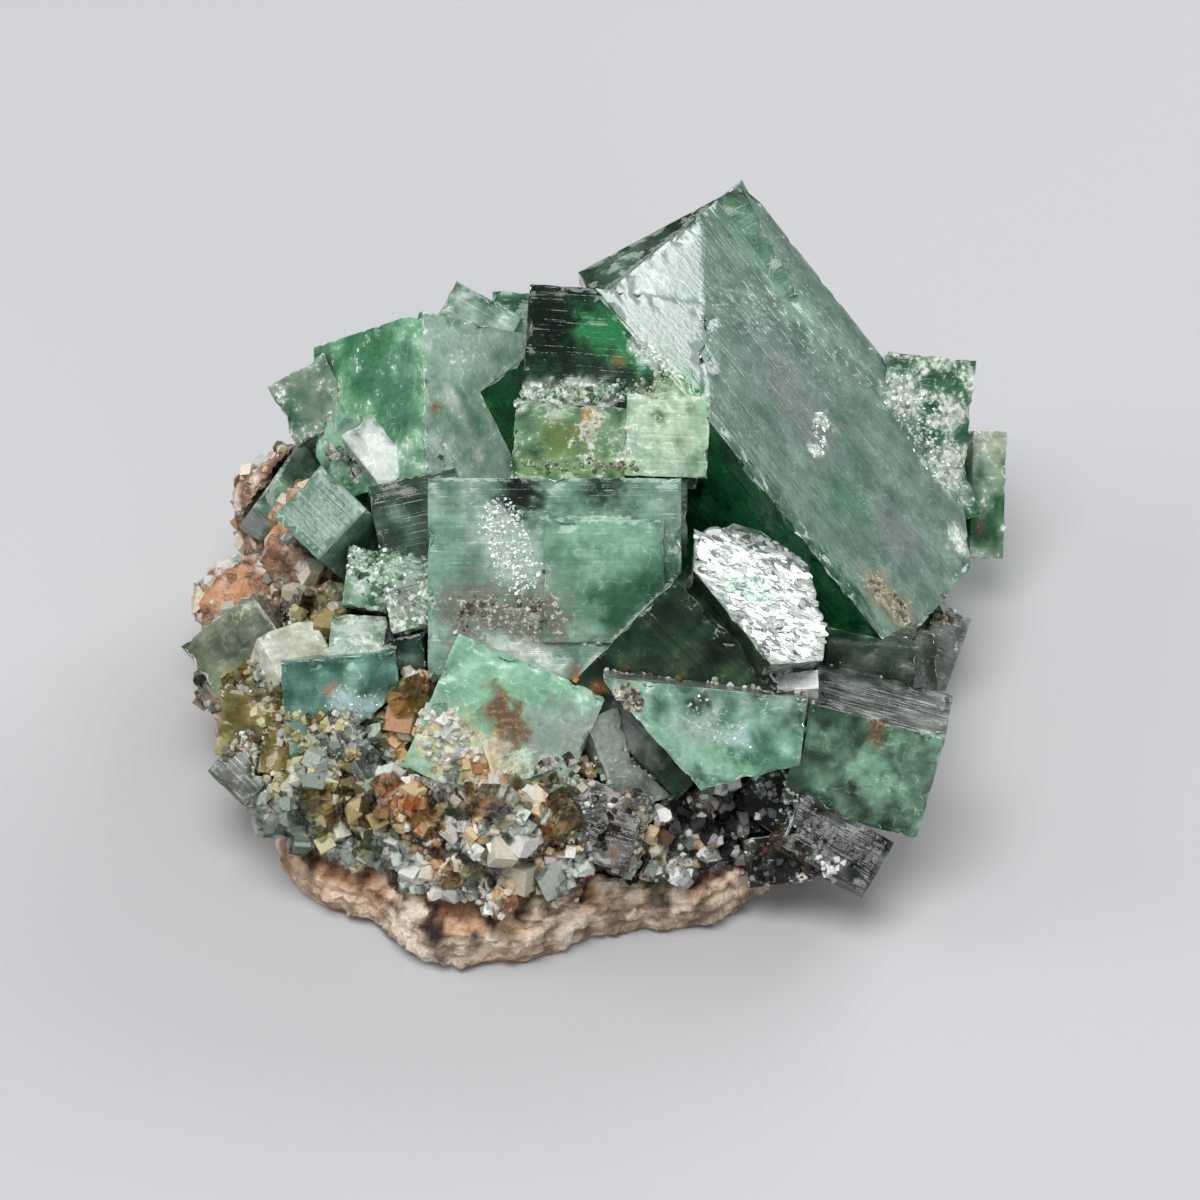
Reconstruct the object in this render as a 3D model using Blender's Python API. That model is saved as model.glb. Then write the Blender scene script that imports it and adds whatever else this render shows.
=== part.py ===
# Green fluorite cubes grown through each other on a thin slab of host rock.
# Metres, +Z up. The origin is the middle of the footprint, on the surface that the rock rests on.
# -Y is the front, and the crystal faces there lean back to be looked at from above.

import math
import random

import bmesh
import bpy
from mathutils import Matrix, Vector, noise

MM = 0.001  # every size below is in millimetres

# Driving dimensions
GAP = 0.3  # between pieces that meet without growing through each other
BED = 3.4  # height of the bedding plane that the crystals' roots end on
SLAB = 3.8  # thickness of the tan slab
ROUND_STEPS = 72  # points around the rock

# A crystal is a block given by the middle of its front face, its width, height and depth, the
# azimuth that the face looks towards (0 is the front, positive to the right), how far it leans
# back, and how far it is turned in its own plane. A cut is a plane through three points, measured
# from the middle of the face along its width, its height and outwards, and the face's middle stays.

MAIN = {
    "great": dict(
        face=(3.0, -0.2, 16.5), size=(36, 26, 28), azimuth=-24, lean=12, turn=42,
        cuts=[
            ((-18, 13, -19), (-5, 13, 0), (-18, 12.1, 0)),
            ((10.5, 13, -28), (18, 13, -18), (10.5, -13, -28)),
        ],
    ),
    "great_twin": dict(face=(7.2, 21.9, 27.7), size=(15, 10, 14), azimuth=0, lean=38, turn=-28),
    "window": dict(
        face=(1.0, 2.1, 31.5), size=(14, 15, 12), azimuth=0, lean=38, turn=4,
        cuts=[((-1.5, 6.7, 0.4), (7.8, -2.4, 0.1), (6.1, 15, -14.9))],
    ),
    "window_plate": dict(face=(-2.3, -1.2, 28.4), size=(8.8, 6.1, 1.5), azimuth=0, lean=38, turn=4.5),
    "window_pale": dict(face=(5.2, -1.0, 29.0), size=(6.4, 6.3, 2.5), azimuth=0, lean=38, turn=2),
    "window_side": dict(face=(4.8, -4.7, 23.9), size=(4, 6, 6), azimuth=13, lean=37, turn=8),
    "broad": dict(face=(-3.5, -9.5, 21.6), size=(19.5, 15.5, 14), azimuth=0, lean=38, turn=0),
    "broad_plate": dict(face=(0.3, -9.9, 21.7), size=(9.2, 9.5, 1.5), azimuth=0, lean=38, turn=0.5),
    "broad_step": dict(face=(4.6, -5.0, 24.9), size=(3.2, 4.5, 5), azimuth=0, lean=38, turn=2),
    "broad_side": dict(face=(-13.8, -4.8, 22.7), size=(7, 8.5, 8), azimuth=0, lean=38, turn=-12),
    "crusted": dict(face=(-14.3, -9.6, 19.4), size=(4.5, 4, 4), azimuth=-15, lean=47, turn=-24),
    "rough": dict(face=(-16.5, -7.5, 19.7), size=(6.5, 4.5, 6), azimuth=0, lean=43, turn=8),
    "tilted": dict(face=(-21.7, -4.6, 24.3), size=(5.2, 5.4, 9), azimuth=-18, lean=49, turn=31),
    "wedge": dict(face=(5.8, -17.5, 17.1), size=(12, 12, 10), azimuth=-8, lean=31, turn=40),
    "silver": dict(
        face=(12.1, -12.2, 22.0), size=(11.1, 17.7, 9), azimuth=95, lean=65.5, turn=86,
        cuts=[
            ((-5.35, 1.15, 0), (-0.55, -8.35, 0), (0.5, -5.0, -3.85)),
            ((-4.25, 6.55, 0), (-5.35, 1.15, 0), (-3.5, 5.0, -2.7)),
            ((4.35, -6.15, 0), (-0.55, -8.35, 0), (1.5, -5.2, -3.4)),
            ((-4.25, 6.55, 0), (-0.45, 8.85, 0), (-0.45, 8.85, -5)),
            ((5.55, -1.5, 0), (4.35, -6.15, 0), (4.35, -6.15, -5)),
        ],
    ),
    "mirror": dict(face=(15.0, -17.7, 18.2), size=(3.2, 1.6, 3), azimuth=0, lean=68, turn=-3),
    "dark_foot": dict(face=(21.0, -10.8, 13.8), size=(7, 4, 8), azimuth=0, lean=18, turn=5),
    "dark_low": dict(face=(24.2, -7.5, 10.8), size=(5, 6, 8), azimuth=20, lean=30, turn=10),
    "twin": dict(
        face=(-18.3, 7.3, 25.5), size=(13.3, 13.2, 13.5), azimuth=-58, lean=31, turn=-42
    ),
    "twin_back": dict(face=(-6.0, 16.8, 26.0), size=(6, 7, 8), azimuth=0, lean=38, turn=5),
    "twin_top": dict(face=(-10.6, 15.1, 27.1), size=(6, 7, 8), azimuth=0, lean=38, turn=29),
    "twin_side": dict(
        face=(-23.2, 10.9, 23.8), size=(5.5, 5.5, 8), azimuth=-25, lean=35, turn=-43
    ),
    "glint": dict(face=(-17.5, 2.7, 24.8), size=(5.5, 3, 4), azimuth=0, lean=53, turn=53),
    "grey": dict(face=(-20.3, 5.9, 23.7), size=(3.2, 3.2, 4), azimuth=-25, lean=35, turn=-25),
    "right_block": dict(face=(26.5, 16.9, 14.8), size=(7.2, 15, 12), azimuth=0, lean=38, turn=6),
    "right_thin": dict(face=(32.2, 17.3, 9.7), size=(3, 10.5, 8), azimuth=25, lean=35, turn=17),
    "right_plate": dict(face=(27.6, 14.6, 12.6), size=(5.5, 7, 4), azimuth=14, lean=34, turn=-12),
    "right_foot": dict(face=(27, 8, 9), size=(9, 9, 9), azimuth=95, lean=20, turn=12),
    "back_middle": dict(face=(-3, 25, 16), size=(13, 12, 12), azimuth=172, lean=28, turn=20),
    "back_left": dict(face=(-16, 24, 14), size=(10, 10, 10), azimuth=202, lean=25, turn=-15),
    "back_right": dict(face=(14, 27, 10), size=(10, 9, 11), azimuth=162, lean=20, turn=35),
    "back_low": dict(face=(4, 30, 9), size=(8, 7, 9), azimuth=176, lean=30, turn=-25),
    "back_small": dict(face=(-10, 28, 8), size=(6, 6, 8), azimuth=192, lean=35, turn=35),
    "back_corner": dict(face=(22, 24, 6.5), size=(7, 6, 9), azimuth=140, lean=25, turn=15),
    "left_foot": dict(face=(-27, 13, 14), size=(7, 7, 9), azimuth=-110, lean=30, turn=30),
    "left_back": dict(face=(-24, 21, 10), size=(6.5, 6, 9), azimuth=-145, lean=30, turn=-20),
}

LEFT = {
    "teal": dict(
        face=(-19.8, -15.3, 13.5), size=(9, 8, 7), azimuth=0, lean=32, turn=-6,
        cuts=[((4.5, 0.8, 0), (-3, -4, 0), (4.5, 0.2, -7))],
    ),
    "outer": dict(face=(-28.2, -8.2, 13.3), size=(7, 6.5, 7), azimuth=-14, lean=42, turn=-46),
    "pale": dict(face=(-18.3, -11.1, 16.9), size=(5.2, 3.8, 5), azimuth=0, lean=48, turn=3),
    "blue": dict(face=(-14.7, -11.6, 16.4), size=(4.2, 3.6, 5), azimuth=0, lean=38, turn=12),
    "bright": dict(face=(-23.5, -10.7, 15.7), size=(4.8, 4.2, 5), azimuth=32, lean=65, turn=2),
    "olive": dict(face=(-26.9, -14.6, 11.0), size=(5.2, 5.2, 6), azimuth=0, lean=38, turn=10),
    "olive_low": dict(face=(-24.4, -16.4, 9.8), size=(3.6, 3.4, 5), azimuth=20, lean=45, turn=24),
    "slab": dict(face=(-19.4, -17.8, 11.4), size=(7.5, 2.8, 6), azimuth=-20, lean=42, turn=44),
}

FRONT_MIDDLE = {
    "clear": dict(
        face=(7.5, -22.2, 15.4), size=(15.5, 9, 9), azimuth=0, lean=29, turn=6,
        cuts=[
            ((-7.8, 4.2, 0), (0.5, -3.4, 0), (0.5, -3.0, -9)),
            ((0.5, -3.4, 0), (7.6, -0.7, 0), (0.5, -1.5, -9)),
        ],
    ),
}

FRONT_RIGHT = {
    "mottled": dict(
        face=(20.0, -21.4, 12.3), size=(10.8, 8.5, 9.5), azimuth=-8, lean=18, turn=11
    ),
    "smoky": dict(face=(17.9, -24.8, 8.0), size=(7.8, 4.6, 8), azimuth=0, lean=48, turn=30),
    "smoky_left": dict(face=(13.4, -20.9, 9.0), size=(5.2, 4.4, 7), azimuth=-20, lean=40, turn=22),
    "smoky_foot": dict(face=(13.6, -24.2, 5.8), size=(5.0, 3.8, 6), azimuth=-10, lean=35, turn=-15),
}

FRONT_LEFT = {
    "stained": dict(face=(-7.3, -19.8, 14.9), size=(12.2, 11, 10), azimuth=0, lean=38, turn=23),
    "stained_side": dict(face=(2.7, -19.9, 12.6), size=(5.5, 8, 8), azimuth=25, lean=35, turn=-7),
    "smoky_lump": dict(face=(-0.5, -24.7, 10.0), size=(7, 6, 9), azimuth=-15, lean=47, turn=5),
    "stained_plate": dict(face=(-6.2, -20.8, 13.8), size=(5, 4.5, 6), azimuth=8, lean=53, turn=-15),
    "grey_lump": dict(face=(-5.6, -25.0, 11.4), size=(4.8, 4.2, 7), azimuth=15, lean=40, turn=40),
    "low_lump": dict(face=(-3.2, -26.3, 8.2), size=(4.2, 3.6, 6), azimuth=-25, lean=30, turn=-20),
}

LOWER_LEFT = {
    "lower": dict(face=(-27.4, -17.1, 9.1), size=(4, 4.7, 6), azimuth=-7, lean=43, turn=39),
}

RIGHT_CHIP = {
    "chip": dict(face=(27.5, 1.2, 6.0), size=(3, 6.5, 6), azimuth=0, lean=38, turn=20),
}
# End of the crystal tables

# The rock's outline on the surface, anticlockwise from the left, and its rings from the underside
# up: each ring's height, its share of the outline, and how rough it is.
ROCK_MIDDLE = (-3.0, -2.0)
ROCK_OUTLINE = [
    (-31.5, 2.0), (-30.0, -5.0), (-27.8, -11.6), (-25.1, -15.1), (-24.4, -19.5), (-22.2, -23.0),
    (-19.7, -24.6), (-17.3, -24.2), (-15.3, -28.3), (-12.4, -30.4), (-8.6, -29.9), (-4.6, -29.6),
    (-0.6, -26.8), (4.5, -25.9), (7.8, -25.8), (10.0, -24.4), (12.0, -22.0), (15.5, -20.0),
    (21.0, -15.0), (23.5, -8.0), (24.0, 0.0), (23.5, 8.0), (20.5, 16.0), (15.0, 22.0),
    (8.0, 24.5), (-1.0, 25.5), (-10.0, 24.5), (-19.0, 23.0), (-26.0, 19.5), (-30.5, 12.0),
]
ROCK_RINGS = [
    (0.0, 0.985, 0.0), (0.5, 1.01, 0.15), (2.1, 1.02, 0.3), (SLAB, 1.0, 0.3),
    (SLAB + 0.2, 0.95, 0.2), (4.8, 0.93, 0.3), (5.6, 0.94, 0.6), (7.4, 0.89, 0.8),
    (9.4, 0.81, 0.9), (11.4, 0.72, 0.9), (13.6, 0.60, 0.9), (15.8, 0.44, 0.9), (17.4, 0.24, 0.8),
]
ROCK_TOP = 18.0
# Lumps that stand out of the rock, bare ones and ones with small crystals on them: middle and radii
BARE_LUMPS = [
    ((-26.5, 4.5, 6.5), (6.5, 7.5, 6.0)),
    ((-22.8, 3.5, 13.0), (5.0, 6.5, 7.0)),
    ((-25.5, 13.5, 8.5), (5.5, 6.5, 7.5)),
    ((-21.5, -5.5, 11.0), (6.0, 6.0, 6.0)),
    ((-27.5, -3.0, 8.0), (5.0, 5.5, 5.5)),
    ((21.0, 3.0, 4.0), (5.0, 8.0, 3.4)),
    ((-4.0, 22.0, 7.0), (8.0, 5.0, 5.0)),
    ((-16.0, 20.0, 7.5), (7.0, 5.5, 5.5)),
]
CRUST_LUMPS = [
    ((-20.0, -19.0, 7.5), (5.5, 4.0, 4.5)),
    ((-13.0, -22.0, 8.0), (5.0, 4.2, 5.0)),
    ((-6.8, -23.8, 8.0), (5.0, 3.6, 4.5)),
    ((6.0, -21.5, 5.5), (5.0, 3.4, 3.0)),
    ((15.0, -18.0, 5.0), (6.0, 3.6, 3.4)),
]
LUMP_CORNERS = 26  # a lump is a broken piece with about this many corners
LUMP_SEED = 17
DRUSE_CUBES = 90  # small crystals that crust the front of the rock
LUMP_CUBES = 16  # on each of the crusted lumps
DRUSE_SIZE = (1.1, 2.6)
DRUSE_SEED = 48
# Middle of the footprint in the coordinates of the tables above; the origin goes there
MIDDLE = (0.41, 3.48)


def face_axes(crystal):
    """Directions of a crystal's width, of its height and out of its front face."""
    azimuth, lean, turn = (math.radians(crystal[key]) for key in ("azimuth", "lean", "turn"))
    out = Vector((
        math.sin(azimuth) * math.cos(lean), -math.cos(azimuth) * math.cos(lean), math.sin(lean)
    ))
    level = Vector((math.cos(azimuth), math.sin(azimuth), 0.0))
    rise = out.cross(level)
    width = level * math.cos(turn) - rise * math.sin(turn)
    height = level * math.sin(turn) + rise * math.cos(turn)
    return width, height, out


def cut_off(bm, point, normal):
    """Removes what lies on the normal's side of a plane and caps the cut."""
    found = bmesh.ops.bisect_plane(
        bm, geom=bm.verts[:] + bm.edges[:] + bm.faces[:], plane_co=point, plane_no=normal,
        dist=1e-5, clear_outer=True,
    )
    rim = [item for item in found["geom_cut"] if isinstance(item, bmesh.types.BMEdge)]
    if len(rim) > 2:
        bmesh.ops.edgeloop_fill(bm, edges=rim)


def add_block(bm, crystal, grow, floor):
    """Adds one crystal in millimetres, grown outwards on every face, ending on the floor below."""
    wide, high, deep = crystal["size"]
    block = bmesh.new()
    bmesh.ops.create_cube(block, size=1.0)
    bmesh.ops.scale(
        block, vec=(wide + 2 * grow, high + 2 * grow, deep + 2 * grow), verts=block.verts
    )
    bmesh.ops.translate(block, vec=(0, 0, -deep / 2), verts=block.verts)
    inside = Vector((0, 0, -0.5))
    for points in crystal.get("cuts", ()):
        a, b, c = (Vector(point) for point in points)
        normal = (b - a).cross(c - a).normalized()
        if normal.dot(inside - a) > 0:
            normal.negate()
        cut_off(block, a + normal * grow, normal)
    width, height, out = face_axes(crystal)
    place = Matrix((width, height, out)).transposed().to_4x4()
    place.translation = Vector(crystal["face"])
    bmesh.ops.transform(block, matrix=place, verts=block.verts)
    cut_off(block, Vector((0, 0, floor)), Vector((0, 0, -1)))
    bmesh.ops.recalc_face_normals(block, faces=block.faces)
    mesh = bpy.data.meshes.new("block")
    block.to_mesh(mesh)
    block.free()
    bm.from_mesh(mesh)
    bpy.data.meshes.remove(mesh)


def block_objects(crystals, grow=0.0, floor=BED):
    """One object for each crystal of the groups given, in metres."""
    objects = []
    for group in crystals:
        for name, crystal in group.items():
            bm = bmesh.new()
            add_block(bm, crystal, grow, floor)
            objects.append(mesh_object(name, bm))
    return objects


def mesh_object(name, bm):
    """A new object with the mesh of bm, which is in millimetres and in the tables' coordinates."""
    bmesh.ops.translate(bm, vec=(-MIDDLE[0], -MIDDLE[1], 0.0), verts=bm.verts)
    bmesh.ops.scale(bm, vec=(MM, MM, MM), verts=bm.verts)
    mesh = bpy.data.meshes.new(name)
    bm.to_mesh(mesh)
    bm.free()
    item = bpy.data.objects.new(name, mesh)
    bpy.context.scene.collection.objects.link(item)
    return item


def combined(name, base, joined=(), removed=()):
    """The base with the joined objects fused to it and the removed ones cut out, as one mesh."""
    used = [base, *joined, *removed]
    for operation, tools in (("UNION", joined), ("DIFFERENCE", removed)):
        if not tools:
            continue
        group = bpy.data.collections.new(operation.lower())
        for tool in tools:
            group.objects.link(tool)
        change = base.modifiers.new(operation.lower(), "BOOLEAN")
        change.operation = operation
        change.operand_type = "COLLECTION"
        change.collection = group
        change.solver = "EXACT"
    bpy.context.view_layer.update()
    shaped = base.evaluated_get(bpy.context.evaluated_depsgraph_get())
    bm = bmesh.new()
    bm.from_mesh(shaped.to_mesh())
    shaped.to_mesh_clear()
    for group in [change.collection for change in base.modifiers]:
        bpy.data.collections.remove(group)
    for item in used:
        bpy.data.objects.remove(item)
    tidy(bm)
    mesh = bpy.data.meshes.new(name)
    bm.to_mesh(mesh)
    bm.free()
    result = bpy.data.objects.new(name, mesh)
    bpy.context.scene.collection.objects.link(result)
    return result


def tidy(bm):
    """Keeps the largest body, drops slivers and leaves plain triangles."""
    bmesh.ops.remove_doubles(bm, verts=bm.verts, dist=2e-6)
    bmesh.ops.dissolve_degenerate(bm, edges=bm.edges, dist=2e-6)
    wires = [edge for edge in bm.edges if not edge.link_faces]
    bmesh.ops.delete(bm, geom=wires, context="EDGES")
    bodies = []
    left = set(bm.verts)
    while left:
        body = {left.pop()}
        edge = list(body)
        while edge:
            vert = edge.pop()
            for link in vert.link_edges:
                other = link.other_vert(vert)
                if other not in body:
                    body.add(other)
                    edge.append(other)
        left -= body
        bodies.append(body)
    main = max(bodies, key=len)
    loose = [vert for body in bodies if body is not main for vert in body]
    bmesh.ops.delete(bm, geom=loose, context="VERTS")
    bmesh.ops.dissolve_limit(
        bm, angle_limit=math.radians(0.5), verts=bm.verts, edges=bm.edges
    )
    bmesh.ops.triangulate(bm, faces=bm.faces)
    bmesh.ops.recalc_face_normals(bm, faces=bm.faces)


def outline_reach(angle):
    """Distance from the rock's middle to its outline in one direction."""
    middle = Vector(ROCK_MIDDLE)
    way = Vector((math.cos(angle), math.sin(angle)))
    across = Vector((-way.y, way.x))
    for start, end in zip(ROCK_OUTLINE, ROCK_OUTLINE[1:] + ROCK_OUTLINE[:1]):
        a, b = Vector(start) - middle, Vector(end) - middle
        side_a, side_b = a.dot(across), b.dot(across)
        if side_a <= 0 < side_b:
            share = side_a / (side_a - side_b)
            reach = a.lerp(b, share).dot(way)
            if reach > 0:
                return reach
    raise ValueError("the rock's outline doesn't go round its middle")


def rock_point(step, ring):
    """One point of the rock's surface, in millimetres."""
    height, share, rough = ROCK_RINGS[ring]
    angle = math.tau * step / ROUND_STEPS
    reach = outline_reach(angle) * share
    flat = Vector((math.cos(angle), math.sin(angle), 0.0))
    point = Vector((*ROCK_MIDDLE, height)) + flat * reach
    bump = noise.noise(point * 0.35) + 0.6 * noise.noise(point * 0.9)
    lift = noise.noise(point * 0.5 + Vector((9.0, 0.0, 0.0)))
    point += flat * bump * rough * 1.6
    if ring > 3:
        point.z += lift * rough
    return point


def rock_core():
    """The slab and the crust on it, as rings of points from the underside to the top."""
    bm = bmesh.new()
    rings = [
        [bm.verts.new(rock_point(step, ring)) for step in range(ROUND_STEPS)]
        for ring in range(len(ROCK_RINGS))
    ]
    top = bm.verts.new((*ROCK_MIDDLE, ROCK_TOP))
    bm.faces.new(reversed(rings[0]))
    for lower, upper in zip(rings, rings[1:]):
        for step in range(ROUND_STEPS):
            following = (step + 1) % ROUND_STEPS
            bm.faces.new((lower[step], lower[following], upper[following], upper[step]))
    for step in range(ROUND_STEPS):
        bm.faces.new((rings[-1][step], rings[-1][(step + 1) % ROUND_STEPS], top))
    bmesh.ops.triangulate(bm, faces=[face for face in bm.faces if len(face.verts) == 4])
    return mesh_object("core", bm)


def rock_lumps():
    """Rough lumps, each with the flat faces of broken stone."""
    pick = random.Random(LUMP_SEED)
    lumps = []
    for middle, radii in BARE_LUMPS + CRUST_LUMPS:
        bm = bmesh.new()
        for _ in range(LUMP_CORNERS):
            way = Vector([pick.gauss(0, 1) for _ in range(3)]).normalized()
            way *= pick.uniform(0.9, 1.1)
            spot = Vector(middle) + Vector([r * c for r, c in zip(radii, way)])
            spot.z = max(spot.z, 0.6)
            bm.verts.new(spot)
        bmesh.ops.convex_hull(bm, input=bm.verts)
        inside = [vert for vert in bm.verts if not vert.link_faces]
        bmesh.ops.delete(bm, geom=inside, context="VERTS")
        lumps.append(mesh_object("lump", bm))
    return lumps


def druse_spots(pick):
    """Seeded places on the front of the crust and on its lumps."""
    front = (int(ROUND_STEPS * 0.55), int(ROUND_STEPS * 0.93))
    spots = [rock_point(pick.randrange(*front), pick.randrange(5, 11)) for _ in range(DRUSE_CUBES)]
    for middle, radii in CRUST_LUMPS:
        for _ in range(LUMP_CUBES):
            way = Vector((pick.uniform(-1, 1), -pick.uniform(0.1, 1), pick.uniform(-0.3, 1))).normalized()
            spots.append(Vector(middle) + 0.95 * Vector([r * c for r, c in zip(radii, way)]))
    return spots


def druse_cubes():
    """Small cubes turned every way, each sunk into the crust."""
    pick = random.Random(DRUSE_SEED)
    cubes = []
    for spot in druse_spots(pick):
        bm = bmesh.new()
        bmesh.ops.create_cube(bm, size=pick.uniform(*DRUSE_SIZE))
        turn = Matrix.Rotation(pick.uniform(0, math.tau), 4, "Z")
        turn @= Matrix.Rotation(pick.uniform(0, math.tau), 4, "X")
        turn.translation = spot
        bmesh.ops.transform(bm, matrix=turn, verts=bm.verts)
        cubes.append(mesh_object("druse", bm))
    return cubes


def material(name, colour, roughness):
    """A plain surface with one colour."""
    made = bpy.data.materials.new(name)
    made.use_nodes = True
    surface = made.node_tree.nodes["Principled BSDF"]
    surface.inputs["Base Color"].default_value = (*colour, 1.0)
    surface.inputs["Roughness"].default_value = roughness
    surface.inputs["Metallic"].default_value = 0.0
    return made


def grow_crystals(name, crystals, earlier, surface):
    """One node: the crystals of a group in one solid, clear of the groups made before it."""
    first, *others = block_objects([crystals])
    near = block_objects(earlier, grow=GAP) if earlier else ()
    item = combined(name, first, others, near)
    item.data.materials.append(surface)
    return item


def main():
    for item in list(bpy.data.objects):
        bpy.data.objects.remove(item)
    cluster = bpy.data.objects.new("fluorite_cluster", None)
    bpy.context.scene.collection.objects.link(cluster)

    groups = [
        ("main_crystals", MAIN, material("green fluorite", (0.12, 0.30, 0.19), 0.15)),
        ("left_crystals", LEFT, material("teal fluorite", (0.20, 0.34, 0.26), 0.15)),
        ("front_middle_crystal", FRONT_MIDDLE, material("clear fluorite", (0.35, 0.52, 0.42), 0.1)),
        ("front_right_crystals", FRONT_RIGHT, material("mottled fluorite", (0.16, 0.28, 0.2), 0.2)),
        ("front_left_crystals", FRONT_LEFT, material("mint fluorite", (0.36, 0.58, 0.44), 0.2)),
        ("lower_left_crystal", LOWER_LEFT, material("pale fluorite", (0.45, 0.5, 0.45), 0.2)),
        ("right_chip", RIGHT_CHIP, material("grey fluorite", (0.4, 0.45, 0.42), 0.2)),
    ]
    nodes = []
    for number, (name, crystals, surface) in enumerate(groups):
        earlier = [group for _, group, _ in groups[:number]]
        nodes.append(grow_crystals(name, crystals, earlier, surface))

    everything = [group for _, group, _ in groups]
    clearance = block_objects(everything, grow=GAP, floor=BED - GAP)
    rock = combined("matrix", rock_core(), [*rock_lumps(), *druse_cubes()], clearance)
    rock.data.materials.append(material("host rock", (0.48, 0.34, 0.24), 0.85))
    nodes.append(rock)
    for node in nodes:
        node.parent = cluster


main()
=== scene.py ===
# Green fluorite cubes on a slab of rock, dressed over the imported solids.
import bpy
import bmesh
import math
import numpy
from mathutils import Color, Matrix, Vector, kdtree, noise
from mathutils.bvhtree import BVHTree


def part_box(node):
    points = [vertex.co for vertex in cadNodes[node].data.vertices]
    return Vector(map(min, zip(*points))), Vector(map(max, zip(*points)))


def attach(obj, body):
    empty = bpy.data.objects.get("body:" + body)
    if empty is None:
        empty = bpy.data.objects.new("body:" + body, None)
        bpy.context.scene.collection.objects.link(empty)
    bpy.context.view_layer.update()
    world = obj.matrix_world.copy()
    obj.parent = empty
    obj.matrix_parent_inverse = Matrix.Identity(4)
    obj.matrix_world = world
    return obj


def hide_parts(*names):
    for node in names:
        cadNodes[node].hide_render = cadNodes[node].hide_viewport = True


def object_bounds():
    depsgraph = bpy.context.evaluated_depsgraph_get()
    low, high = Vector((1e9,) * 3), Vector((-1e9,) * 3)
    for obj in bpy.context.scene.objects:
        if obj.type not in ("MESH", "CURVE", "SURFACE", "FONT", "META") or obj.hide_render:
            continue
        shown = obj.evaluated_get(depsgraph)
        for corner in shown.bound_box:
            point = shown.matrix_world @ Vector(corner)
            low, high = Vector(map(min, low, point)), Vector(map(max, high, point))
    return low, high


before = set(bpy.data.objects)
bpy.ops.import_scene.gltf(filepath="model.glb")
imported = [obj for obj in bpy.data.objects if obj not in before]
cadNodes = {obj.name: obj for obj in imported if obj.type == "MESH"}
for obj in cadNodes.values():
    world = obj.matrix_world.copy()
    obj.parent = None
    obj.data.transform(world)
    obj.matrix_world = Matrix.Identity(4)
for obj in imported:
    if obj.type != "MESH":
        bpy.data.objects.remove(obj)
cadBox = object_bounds()
mm = 0.001
print("frame loaded:", sorted(cadNodes))


def letGo():  # nothing is selected, and no object is in edit mode
    if bpy.context.object and bpy.context.object.mode != "OBJECT":
        bpy.ops.object.mode_set(mode="OBJECT")
    bpy.ops.object.select_all(action="DESELECT")


def pick(item):
    letGo()
    item.select_set(True)
    bpy.context.view_layer.objects.active = item


def hue(red, green, blue, alpha=1.0):  # a colour as seen, 0 to 255, made linear
    seen = Color((red / 255, green / 255, blue / 255))
    return (*seen.from_srgb_to_scene_linear(), alpha)


# The studio: camera, panels and floor
studio = dict(
    lookAt=(-0.00041, 0.01202, 0.0),
    lift=38.0,  # degrees above the floor
    away=0.400,
    lens=143.08,
    sensor=36.0,
    clip=(0.01, 20.0),
    floorColour=hue(188, 189, 191),
    floorSize=6.0,
    floorRoughness=0.8,
    floorIor=1.3,
    worldColour=(0.50, 0.52, 0.54, 1.0),
    worldStrength=0.46,
    bounces=8,
    aimHeight=0.015,  # the panels point at this height over the origin
    panels={  # azimuth, lift, distance, size and power
        "overheadPanel": (-20, 68, 0.60, (0.42, 0.34), 3.1),
        "backRightPanel": (142, 27, 0.70, (0.50, 0.24), 2.9),
        "leftPanel": (-95, 28, 0.75, (0.36, 0.36), 1.5),
        "frontPanel": (25, 20, 0.9, (0.5, 0.3), 1.1),
    },
)


def addCamera(spec):
    tilt = math.radians(spec["lift"])
    back = Vector((0, -math.cos(tilt), math.sin(tilt)))
    spot = Vector(spec["lookAt"]) + back * spec["away"]
    bpy.ops.object.camera_add(location=spot, rotation=(math.radians(90) - tilt, 0, 0))
    camera = bpy.context.object
    camera.name = "photoCamera"
    camera.data.lens = spec["lens"]
    camera.data.sensor_width = spec["sensor"]
    camera.data.clip_start, camera.data.clip_end = spec["clip"]
    bpy.context.scene.camera = camera


def addPanel(name, azimuth, lift, away, size, power):
    turn, tilt = math.radians(azimuth), math.radians(lift)
    way = Vector((math.sin(turn) * math.cos(tilt), -math.cos(turn) * math.cos(tilt), math.sin(tilt)))
    bpy.ops.object.light_add(type="AREA", location=way * away + Vector((0, 0, studio["aimHeight"])))
    panel = bpy.context.object
    panel.name = name
    panel.rotation_euler = way.to_track_quat("Z", "Y").to_euler()
    panel.data.shape = "RECTANGLE"
    panel.data.size, panel.data.size_y = size
    panel.data.energy = power


letGo()
addCamera(studio)
for panelName, panelFacts in studio["panels"].items():
    addPanel(panelName, *panelFacts)

world = bpy.data.worlds.new("studioWorld")
world.use_nodes = True
bpy.context.scene.world = world
backing = world.node_tree.nodes["Background"]
backing.inputs["Color"].default_value = studio["worldColour"]
backing.inputs["Strength"].default_value = studio["worldStrength"]
bpy.context.scene.view_settings.view_transform = "Standard"
bpy.context.scene.cycles.max_bounces = studio["bounces"]
bpy.context.scene.cycles.transmission_bounces = studio["bounces"]


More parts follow.
